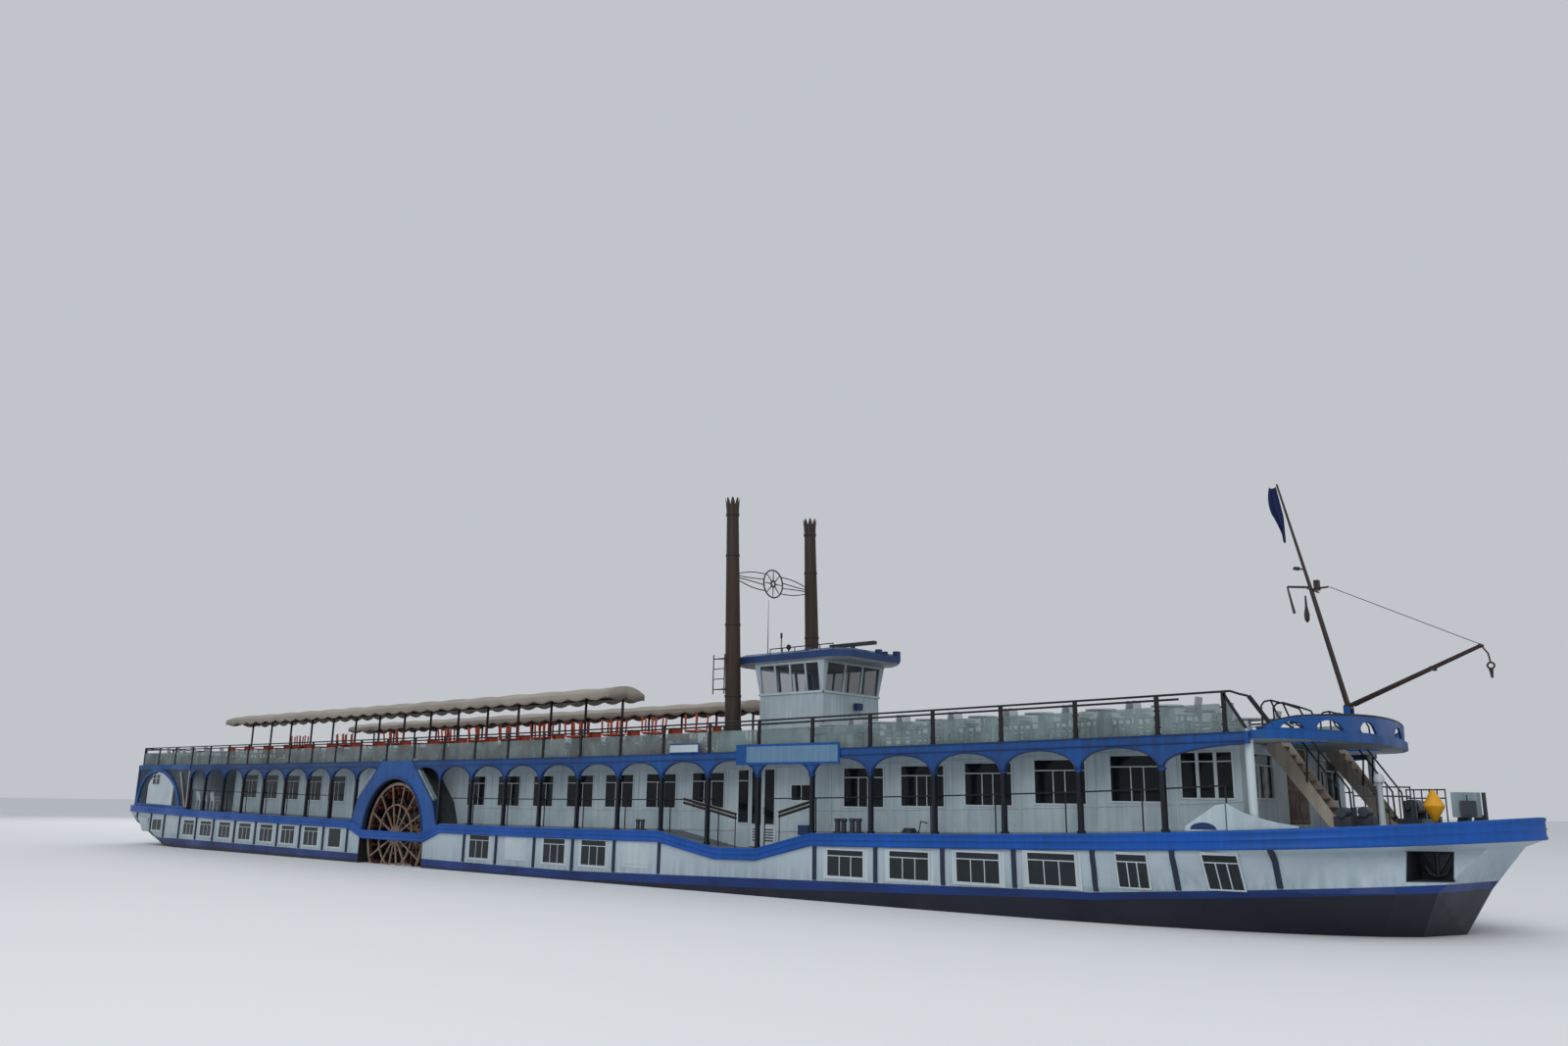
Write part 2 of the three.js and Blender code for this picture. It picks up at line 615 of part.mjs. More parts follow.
const sternArch = { middle: -14500, radius: 930, ring: 80, springs: 40 };
sides.forEach((side) => {
  const { middle, radius, ring } = sternArch;
  const floor = deckAt(middle);
  const arc = (size) => Array.from({ length: 17 }, (_, k) => {
    const angle = Math.PI * k / 16;
    return [middle + size * Math.cos(angle), floor + sternArch.springs + size * Math.sin(angle)];
  });
  const panel = elevation(side, arc(radius), galleryInner, halfBeam - 20, [
    rectangle(sternWindow.aft, sternWindow.fore, floor + sternWindow.bottom, floor + sternWindow.top),
  ]);
  const band = [...arc(radius + ring), ...arc(radius - 10).reverse()];
  const arch = elevation(side, band, galleryInner, halfBeam);
  const sill = elevation(side, [
    ...lineOf(deckAt, sternHouse.aft + 50, galleryAft - gap, gap),
    ...lineOf(deckAt, sternHouse.aft + 50, galleryAft - gap, sternArch.springs + 30).reverse(),
  ], galleryInner, halfBeam);
  const beam = elevation(side, [
    ...lineOf(upperAt, sternHouse.aft + 50, galleryAft - gap),
    ...lineOf(upperAt, sternHouse.aft + 50, galleryAft - gap, -archRise.crown).reverse(),
  ], galleryInner, halfBeam);
  const rests = [sternHouse.aft + 50, galleryAft - 110].map((x) => (
    sideBox(side, x, x + 100, galleryInner, halfBeam, deckAt(x) + 20, upperAt(x) - 20)
  ));
  add(`stern_arch_${side.name}`, join([panel, arch, sill, beam, ...rests]), 'navy');
});

// Sun deck rails: a top rail on posts with a low panel in each bay.
const rail = { height: 450, bar: 28, panel: 320, inner: 2150, outer: 2180, post: 14 };
const narrowestHole = 60;

function railHoles(x0, x1) {
  const first = Math.ceil((x0 - postZero) / bay);
  const last = Math.floor((x1 - postZero) / bay);
  const places = [x0 + rail.post];
  for (let post = first; post <= last; post += 1) places.push(postX(post));
  places.push(x1 - rail.post);
  const holes = [];
  for (let k = 1; k < places.length; k += 1) {
    const start = places[k - 1] + rail.post;
    const end = places[k] - rail.post;
    if (end - start < narrowestHole) continue;
    const top = upperAt((start + end) / 2);
    holes.push(rectangle(start, end, top + rail.panel, top + rail.height - rail.bar));
  }
  return holes;
}

sides.forEach((side) => {
  const [x0, x1] = [upperStraight.aft, upperStraight.fore - 5];
  const outline = [
    ...lineOf(upperAt, x0, x1, rail.height),
    ...lineOf(upperAt, x0, x1, gap).reverse(),
  ];
  add(`rail_${side.name}`, elevation(side, outline, rail.inner, rail.outer, railHoles(x0, x1)), 'white');
});

function ribbon(points, thick, bottomAt, topAt) {
  const inner = offsetLine(points, -thick);
  const rings = points.map(([x, y], index) => {
    const [innerX, innerY] = inner[index];
    const [bottom, top] = [bottomAt(x), topAt(x)];
    return [[x, y, bottom], [x, y, top], [innerX, innerY, top], [innerX, innerY, bottom]];
  });
  return skin(rings);
}

const frontShares = [1, ...[...bowedShares].reverse(), 0];
const frontHalf = frontShares.map((share) => [
  upperStraight.fore + (upperTip - upperStraight.fore - 25) * Math.sqrt(1 - share ** 2),
  rail.outer * share,
]);
const frontPath = [...frontHalf.map(([x, y]) => [x, -y]), ...frontHalf.slice(0, -1).reverse()];
// Parapet round the bowed front, with a row of arched cut-outs.
// Columns of the cut-outs: turn from the bow, half width, height.
const cutOuts = [[15.5, 215, 130], [40, 235, 105], [61.5, 140, 70]];
const cutOutSill = 25;
const parapetFoot = upperAt(upperTip) + gap;
const parapetLine = [
  [14500, 0, 2170], [14640, 0, 2190], [14720, 0, 2250], [14900, 0, 2310], [15090, 0, 2345], [15250, 0, 2385],
];
const parapet = ribbon(frontPath, 30, () => parapetFoot, (x) => heightOn(parapetLine, x));
const bow = { reach: upperTip - upperStraight.fore - 40, half: rail.outer - 15 };
const parapetHoles = cutOuts.flatMap(([turn, half, height]) => [-1, 1].map((way) => {
  const steps = 6;
  const bottom = parapetFoot + cutOutSill;
  const arch = Array.from({ length: steps + 1 }, (_, k) => {
    const angle = Math.PI * k / steps;
    return [half * Math.cos(angle), bottom + height * (0.3 + 0.7 * Math.sin(angle))];
  });
  const sill = [[-half, bottom], [half, bottom]];
  const angle = THREE.MathUtils.degToRad(way * turn);
  const facing = Math.atan2(Math.sin(angle) / bow.half, Math.cos(angle) / bow.reach);
  return crossSection([...arch, ...sill], -60, 60)
    .rotate([0, 0, THREE.MathUtils.radToDeg(facing)])
    .translate([upperStraight.fore + bow.reach * Math.cos(angle), bow.half * Math.sin(angle), 0]);
}));
const frontSpace = box(upperStraight.fore + 20, upperTip, -wide, wide, 0, tall);
add('front_parapet', cut(parapet.intersect(frontSpace), parapetHoles), 'blue');
const sternRailBay = 710;
const sternDeck = upperAt(upperStraight.aft);
const sternRail = crossSection(
  rectangle(-rail.inner + 2, rail.inner - 2, sternDeck + 2, sternDeck + rail.height),
  upperStraight.aft + 2, upperStraight.aft + 30,
  [-3, -2, -1, 0, 1, 2].map((k) => rectangle(
    k * sternRailBay + 20, (k + 1) * sternRailBay - 20,
    sternDeck + rail.panel, sternDeck + rail.height - rail.bar,
  )),
);
add('stern_rail', sternRail, 'white');

// Wheelhouse: straight lower walls, and a band of windows that leans outwards.
const house = { aft: 5815, fore: 7185, half: 720, sill: 3050, top: 3550, lean: 70, wall: 30 };

function tower(inset, bottom, top) {
  const ring = (grow, z) => {
    const half = house.half + grow - inset;
    const plan = rectangle(house.aft - grow + inset, house.fore + grow - inset, -half, half);
    return plan.map(([x, y]) => [x, y, z]);
  };
  return skin([ring(0, bottom), ring(0, house.sill), ring(house.lean, top)]);
}

const houseFloor = upperAt(house.fore) + 2;
const houseDoor = { inner: -150, outer: 150, head: houseFloor + 960 };
const houseMiddle = (house.aft + house.fore) / 2;
const sidePanes = [[-640, -330], [-300, 0], [30, 330], [360, 620]]; // measured forward from the middle
const endPanes = [[-670, -245], [-205, 205], [245, 670]];
const paneZ = [house.sill + 25, house.top - 35];
const houseCutters = [
  ...sidePanes.map(([x0, x1]) => box(houseMiddle + x0, houseMiddle + x1, -wide, wide, ...paneZ)),
  ...endPanes.map(([y0, y1]) => box(house.aft - 500, house.fore + 500, y0, y1, ...paneZ)),
  box(house.aft - 500, houseMiddle, houseDoor.inner, houseDoor.outer, houseFloor - 5, houseDoor.head),
];
const houseSpace = tower(house.wall, houseFloor - 10, house.top + 10);
const houseShell = tower(0, houseFloor, house.top).subtract(houseSpace);
add('wheelhouse', cut(houseShell, houseCutters), 'white');
const houseLeaf = crossSection(
  rectangle(houseDoor.inner + 6, houseDoor.outer - 6, houseFloor + 6, houseDoor.head - 6),
  house.aft, house.aft + 18,
  [rectangle(houseDoor.inner + 50, houseDoor.outer - 50, houseFloor + 500, houseDoor.head - 60)],
);
add('wheelhouse_door', houseLeaf, 'white');

const roof = { aft: 5200, fore: 7700, half: 850, eave: 3690, top: 3735, chamfer: 220 };

function roofRing(inset, z) {
  const { aft, fore, half, chamfer } = roof;
  return [
    [aft + inset, half - inset - chamfer], [aft + inset, -half + inset + chamfer],
    [aft + inset + chamfer, -half + inset], [fore - inset - chamfer, -half + inset],
    [fore - inset, -half + inset + chamfer], [fore - inset, half - inset - chamfer],
    [fore - inset - chamfer, half - inset], [aft + inset + chamfer, half - inset],
  ].map(([x, y]) => [x, y, z]);
}

const roofBottom = house.top + gap;
const roofSlab = skin([
  roofRing(60, roofBottom), roofRing(0, roofBottom + 30), roofRing(0, roof.eave), roofRing(90, roof.top),
]);
const radar = { x: 7210, foot: 3700, head: 3805, half: 470 };
const radarPost = bar([radar.x, 0, radar.foot], [radar.x, 0, radar.head], 90, 70, 12);
add('wheelhouse_roof', roofSlab.add(radarPost), 'blue');
const radarArm = box(radar.x - radar.half, radar.x + radar.half, -40, 40, radar.head + 35, radar.head + 90);
const radarHub = bar([radar.x, 0, radar.head + 5], [radar.x, 0, radar.head + 50], 40, 40, 12);
add('radar_arm', radarArm.add(radarHub), 'black');

// Funnels: a tall pair that folds aft on hinges at the after edge of their bases, tied by a brace.
const funnel = { x: 5500, y: 1025, foot: 2455, length: 4000, rake: 2, base: 135, top: 102, crown: 128 };
const hingeLine = { x: funnel.x - 175, z: 2450, radius: 22 };

function funnelTube(side) {
  const { base, top, crown, length } = funnel;
  const crownFoot = length - 220;
  const profile = [
    [0, 0], [base, 0], [(base + top) / 2, length / 2], [top, crownFoot], [crown, length],
    [crown - 14, length], [top - 12, crownFoot], [top - 12, crownFoot - 400], [0, crownFoot - 400],
  ];
  const geometry = new THREE.LatheGeometry(profile.map(([r, h]) => new THREE.Vector2(r, h)), 16);
  geometry.rotateX(Math.PI / 2);
  const teeth = [0, 1, 2, 3].map((k) => {
    const notch = new THREE.BoxGeometry(400, 30, 200);
    notch.rotateZ(Math.PI * k / 4);
    notch.translate(0, 0, length + 30);
    return notch;
  });
  const placed = [geometry, ...teeth].map((piece) => {
    piece.rotateY(THREE.MathUtils.degToRad(-funnel.rake));
    piece.translate(funnel.x, side.sign * funnel.y, funnel.foot);
    return toSolid(piece);
  });
  return cut(placed[0], placed.slice(1));
}

function knuckle(side, from, to, lowZ, highZ) {
  const y0 = side.sign * funnel.y + from;
  const y1 = side.sign * funnel.y + to;
  const { x, z, radius } = hingeLine;
  const barrel = bar([x, y0, z], [x, y1, z], radius, radius, 12);
  return barrel.add(box(hingeLine.x, funnel.x - funnel.base + 30, y0, y1, lowZ, highZ));
}

const floorLine = box(4000, 7000, -wide, wide, funnel.foot, 9000);
const funnels = sides.map((side) => {
  const lugs = [[-68, -32], [32, 68]].map(([from, to]) => (
    knuckle(side, from, to, funnel.foot, funnel.foot + 24)
  ));
  return join([funnelTube(side).intersect(floorLine), ...lugs]);
});
sides.forEach((side, index) => {
  add(`funnel_${side.name}`, funnels[index], 'black');
  const seat = upperAt(funnel.x) - 10;
  const domeTop = hingeLine.z - seat - 5;
  const dome = turned([
    [0, 0], [290, 0], [290, 50], [255, 170], [190, 260], [150, 300], [140, domeTop], [0, domeTop],
  ], funnel.x, side.sign * funnel.y, seat, 16);
  const lug = knuckle(side, -26, 26, hingeLine.z - 60, hingeLine.z - 5);
  add(`funnel_base_${side.name}`, clear(dome.add(lug), sunDeck), 'white');
});

const brace = { z: 5080, ring: 260, bar: 16, spread: 150 };
const rakeShift = Math.tan(THREE.MathUtils.degToRad(funnel.rake));

function funnelAxis(z) {
  return funnel.x - (z - funnel.foot) * rakeShift;
}

function braceSolid() {
  const outline = new THREE.Shape().absarc(0, 0, brace.ring, 0, Math.PI * 2);
  outline.holes.push(new THREE.Path().absarc(0, 0, brace.ring - 34, 0, Math.PI * 2, true));
  const geometry = new THREE.ExtrudeGeometry(outline, { depth: 24, bevelEnabled: false, curveSegments: 12 });
  geometry.rotateY(Math.PI / 2);
  geometry.translate(funnelAxis(brace.z) - 12, 0, brace.z);
  const pieces = [toSolid(geometry)];
  const x = funnelAxis(brace.z);
  for (let k = 0; k < 3; k += 1) {
    const angle = Math.PI * k / 3;
    const [y, z] = [Math.cos(angle) * (brace.ring - 10), Math.sin(angle) * (brace.ring - 10)];
    pieces.push(bar([x, -y, brace.z - z], [x, y, brace.z + z], 11, 11, 6));
  }
  sides.forEach((side) => {
    [-brace.spread, 0, brace.spread].forEach((rise) => {
      const reach = Math.sqrt((brace.ring - 15) ** 2 - rise ** 2);
      const start = [x, side.sign * reach, brace.z + rise];
      pieces.push(bar(start, [x, side.sign * funnel.y, brace.z + rise * 0.4], brace.bar, brace.bar, 5));
    });
  });
  return join(pieces);
}

const braceCut = sides.map((side) => bar(
  [funnelAxis(brace.z - 400), side.sign * funnel.y, brace.z - 400],
  [funnelAxis(brace.z + 400), side.sign * funnel.y, brace.z + 400], 90, 90, 20,
));
add('funnel_brace', funnels.reduce((rest, leg) => clear(rest, leg), cut(braceSolid(), braceCut)), 'black');

// Awnings: on each side of the sun deck, one arched length of canvas on a row of posts with cross arms.
const awning = {
  aft: -11200, fore: 3520, middle: 1652, half: 412, crown: 3245, edge: 3120, skirt: 2990, thick: 14,
};
const awningPost = { last: 3430, pitch: 1000, count: 15, half: 16, beam: 3210, armHalf: 380 };

sides.forEach((side) => {
  const { middle, half, crown, edge, skirt, thick } = awning;
  const vault = (reach, rise) => [-1, -0.6, -0.2, 0.2, 0.6, 1].map((share) => (
    [middle + reach * share, edge + rise + (crown - edge) * (1 - share ** 2)]
  ));
  const top = vault(half, 0);
  const under = vault(half - thick, -thick);
  const outline = [
    [middle - half, skirt], ...top, [middle + half, skirt], [middle + half - thick, skirt],
    ...under.reverse(), [middle - half + thick, skirt],
  ].map(([y, z]) => [side.sign * y, z]);
  add(`awning_${side.name}`, crossSection(outline, awning.aft, awning.fore), 'canvas');

  const { last, pitch, count, beam, armHalf } = awningPost;
  const first = last - pitch * (count - 1);
  const thin = awningPost.half;
  const armTop = edge - thick - 10;
  const pieces = [
    sideBox(side, awning.aft + 40, awning.fore - 40, middle - thin, middle + thin, beam - 30, beam),
    ...[middle - armHalf, middle + armHalf].map((y) => (
      sideBox(side, awning.aft + 40, awning.fore - 40, y - 10, y + 10, armTop - 20, armTop)
    )),
  ];
  for (let k = 0; k < count; k += 1) {
    const x = first + k * pitch;
    const foot = upperAt(x) + gap + 2;
    pieces.push(sideBox(side, x - thin, x + thin, middle - thin, middle + thin, foot, beam - 5));
    pieces.push(sideBox(side, x - 10, x + 10, middle - armHalf, middle + armHalf, armTop - 19, armTop - 1));
  }
  add(`awning_frame_${side.name}`, join(pieces), 'white');
});

// Foremast: the spar, the pair of poles and the stay lie aft together on a hinge at the heel.
const mast = { heelX: 14875, hinge: 2525, tree: [14557, 0, 4010], top: [14238, 0, 5427], armHalf: 260 };
const poleTip = { x: 16385, z: 3180, half: 45 };
const spar = join([
  bar([mast.heelX, 0, mast.hinge + 5], mast.tree, 32, 26, 12),
  bar([mast.tree[0] + 5, 0, mast.tree[2] - 25], mast.top, 22, 12, 12),
  bar([mast.tree[0], -mast.armHalf, mast.tree[2]], [mast.tree[0], mast.armHalf, mast.tree[2]], 12, 12, 8),
  bar(mast.tree, [mast.tree[0] + 210, 0, mast.tree[2] + 15], 12, 12, 8),
  box(mast.heelX - 40, mast.heelX + 40, -60, 60, mast.hinge - 15, mast.hinge + 35),
]);
add('foremast', spar, 'black');
const poleHeel = { x: mast.heelX + 50, z: mast.hinge + 35, half: 75 };
const poles = join([
  ...[-1, 1].map((way) => bar(
    [poleHeel.x, way * poleHeel.half, poleHeel.z], [poleTip.x, way * poleTip.half, poleTip.z], 18, 14, 8,
  )),
  bar([poleHeel.x, -95, poleHeel.z + 2], [poleHeel.x, 95, poleHeel.z + 2], 16, 16, 8),
  bar([poleTip.x - 15, -80, poleTip.z - 5], [poleTip.x - 15, 80, poleTip.z - 5], 14, 14, 8),
]);
add('gin_pole', clear(poles, spar), 'black');
const stay = bar([mast.tree[0] + 218, 0, mast.tree[2] + 13], [poleTip.x - 15, 0, poleTip.z + 4], 5, 5, 6);
add('mast_stay', clear(clear(stay, spar), poles), 'black');

// Mast foot: a round post with a fork for the hinge.
const footSeat = upperAt(mast.heelX) - 5;
const forkX = [mast.heelX - 35, mast.heelX + 35];
const mastFoot = join([
  bar([mast.heelX, 0, footSeat], [mast.heelX, 0, mast.hinge - 70], 55, 55, 16),
  box(mast.heelX - 75, mast.heelX + 75, -90, 90, footSeat, footSeat + 40),
  ...[-1, 1].map((way) => box(...forkX, way * 80 - 12, way * 80 + 12, mast.hinge - 85, mast.hinge + 15)),
  box(...forkX, -92, 92, mast.hinge - 110, mast.hinge - 70),
]);
add('mast_foot', clear(mastFoot, sunDeck), 'blue');

// Foredeck stairs.
sides.forEach((side) => {
  const head = [stair.top, upperAt(stair.top) - 10];
  const foot = [stair.foot, deckAt(stair.foot) + 30];
  const stringer = [
    head, [head[0] + 110, head[1]], [foot[0] + 60, foot[1]],
    [foot[0] + 60, deckAt(stair.foot + 60) + 2], [foot[0] - 60, deckAt(stair.foot - 60) + 6],
    [head[0], head[1] - 150],
  ];
  const pieces = [[stair.inner, stair.inner + 16], [stair.outer - 16, stair.outer]].map(([y0, y1]) => (
    elevation(side, stringer, y0, y1)
  ));
  const count = 9;
  for (let k = 1; k <= count; k += 1) {
    const share = k / (count + 1);
    const x = head[0] + (foot[0] - head[0]) * share;
    const z = head[1] + (foot[1] - head[1]) * share;
    pieces.push(sideBox(side, x - 55, x + 65, stair.inner + 8, stair.outer - 8, z - 14, z));
  }
  add(`fore_stair_${side.name}`, join(pieces), 'white');
});

// Front columns under the corners of the sun deck.
const column = { x: 14454, y: 2128, radius: 48 };
sides.forEach((side) => {
  const { x, radius } = column;
  const y = side.sign * column.y;
  const seat = Math.max(deckAt(x - radius), deckAt(x + radius)) + gap;
  const head = Math.min(ceilingAt(x - radius), ceilingAt(x + radius)) - 3;
  add(`front_column_${side.name}`, bar([x, y, seat], [x, y, head], radius, radius, 20), 'white');
});

// Wing bulwarks: a plate along each deck edge, forward of the saloon, with a hollow sloping top.
const wing = { aft: 14200, fore: 14890, inset: 8, thick: 20, steps: 7 };
const wingLine = [[14200, 0, 290], [14394, 0, 175], [14642, 0, 80], [14890, 0, 22]]; // height above the deck

function edgeHalfAt(x) {
  return heightOn(deckEdge.map(([place, y]) => [place, 0, y]), x);
}

sides.forEach((side) => {
  const path = Array.from({ length: wing.steps + 1 }, (_, k) => {
    const x = wing.aft + (wing.fore - wing.aft) * k / wing.steps;
    return [x, -(edgeHalfAt(x) - wing.inset)];
  });
  const plate = ribbon(path, wing.thick, (x) => deckAt(x) + 3, (x) => deckAt(x) + heightOn(wingLine, x));
  add(`wing_bulwark_${side.name}`, side.sign < 0 ? plate : plate.mirror([0, 1, 0]), 'white');
});

// Rudders under the stern, each on a stock that runs up into its trunk in the hull.
sides.forEach((side) => {
  const y = side.sign * rudder.y;
  const { x, foot, head, half, stock: radius, stockTop } = rudder;
  const plate = box(x - rudder.aft, x + rudder.fore, y - half, y + half, foot, head);
  const stock = bar([x, y, foot], [x, y, stockTop], radius, radius, 16);
  add(`rudder_${side.name}`, plate.add(stock), 'red');
});

// Windlass on the foredeck: a bed, two cheeks, and a drum on a shaft.
const drum = { x: 15500, rise: 190, radius: 85, half: 140 };
const bed = { length: 130, half: 260, seat: deckAt(drum.x + 130) + 2 };
const drumLine = (half, radius, faces) => (
  bar([drum.x, -half, bed.seat + drum.rise], [drum.x, half, bed.seat + drum.rise], radius, radius, faces)
);
const cheeks = [-220, 180].map((y) => (
  box(drum.x - 70, drum.x + 70, y, y + 40, bed.seat + 50, bed.seat + drum.rise + 70)
));
const windlass = join([
  box(drum.x - bed.length, drum.x + bed.length, -bed.half, bed.half, bed.seat, bed.seat + 60),
  ...cheeks, drumLine(300, 30, 12), drumLine(drum.half, drum.radius, 16),
]);
add('windlass', windlass, 'black');

export default ship;
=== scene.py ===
import math
from itertools import product

import bmesh
import bpy
import numpy as np
from mathutils import Matrix, Vector
from mathutils.bvhtree import BVHTree


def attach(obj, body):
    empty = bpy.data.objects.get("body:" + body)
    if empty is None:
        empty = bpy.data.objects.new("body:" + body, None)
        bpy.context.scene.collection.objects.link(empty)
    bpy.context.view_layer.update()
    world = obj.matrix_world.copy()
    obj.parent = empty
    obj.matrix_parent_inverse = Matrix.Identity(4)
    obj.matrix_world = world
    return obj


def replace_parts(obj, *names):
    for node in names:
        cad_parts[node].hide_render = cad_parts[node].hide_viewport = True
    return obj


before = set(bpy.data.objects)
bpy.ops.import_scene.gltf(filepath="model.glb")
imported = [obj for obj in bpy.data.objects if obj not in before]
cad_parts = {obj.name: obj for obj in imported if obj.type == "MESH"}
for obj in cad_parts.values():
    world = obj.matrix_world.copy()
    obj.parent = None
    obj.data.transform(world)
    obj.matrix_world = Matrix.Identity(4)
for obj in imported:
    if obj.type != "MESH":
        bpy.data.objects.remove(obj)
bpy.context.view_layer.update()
print("frame loaded")

# Places that the hull and decks share, in metres
ship = {
    "postZero": -10.5545, "bay": 1.045, "halfLength": 16.75, "halfBeam": 2.25, "widest": 2.285,
    "bowStart": 14.35, "bowLength": 2.4, "stemHalf": 0.025, "sternStart": -15.85, "sternLength": 0.9,
    "deckLow": 0.83, "deckAft": 0.198, "deckFore": 0.30, "deckStem": 0.145,
    "upperLow": 2.025, "upperAft": 0.045, "upperFore": 0.16,
    "wall": 1.75, "gallery": 2.25, "galleryInner": 2.19, "wheelX": -2.75, "wheelZ": 0.565,
}
# Where the belt dips, at the wheels and at the gangway: where it starts down, is down, starts up and is up
dips = ((-4.4, -3.8, -1.55, -1.0, 0.185), (5.1205, 6.3745, 7.2105, 8.2555, 0.225))
sides = ((-1, "starboard"), (1, "port"))


def postX(number):
    return ship["postZero"] + number * ship["bay"]


def deckAt(x):
    share = abs(x) / ship["halfLength"]
    fore = ship["deckFore"] * share ** 2 + ship["deckStem"] * share ** 8
    return ship["deckLow"] + (ship["deckAft"] * share ** 2 if x < 0 else fore)


def edgeAt(x):
    height = deckAt(x)
    for a, b, c, d, depth in dips:
        height -= depth * max(min((x - a) / (b - a), (d - x) / (d - c), 1), 0)
    return height


def beltBottom(x):
    return edgeAt(x) - 0.17 - (0.07 * (x / ship["halfLength"]) ** 4 if x > 0 else 0)


def upperAt(x):
    rise = ship["upperAft"] if x < 0 else ship["upperFore"]
    return ship["upperLow"] + rise * (abs(x) / ship["halfLength"]) ** 2


# Half breadth of the deck edge, which narrows to the stem and is rounded at the stern
def deckHalf(x):
    half, stem = ship["halfBeam"], ship["stemHalf"]
    if x > ship["bowStart"]:
        share = min((x - ship["bowStart"]) / ship["bowLength"], 1)
        return stem + (half - stem) * (1 - share ** 1.5) ** 0.8
    if x < ship["sternStart"]:
        share = min((ship["sternStart"] - x) / ship["sternLength"], 1)
        return max(half * (1 - share ** 2.4) ** 0.45, 0.7)
    return half


def along(start, end, step):
    count = max(int(round((end - start) / step)), 1)
    return [start + (end - start) * k / count for k in range(count + 1)]


# Cosine and sine of equal steps round a full turn
def circle(count):
    return [(math.cos(math.tau * k / count), math.sin(math.tau * k / count)) for k in range(count)]


# The same outline on the starboard and the port side
def bothSides(y, path):
    return [[(x, side * y, z) for x, z in path] for side, _ in sides]


# Points of a flat path, each with the way that the path runs there
def withWays(path):
    for index, point in enumerate(path):
        before, after = path[max(index - 1, 0)], path[min(index + 1, len(path) - 1)]
        yield point, Vector((after[0] - before[0], after[1] - before[1])).normalized()


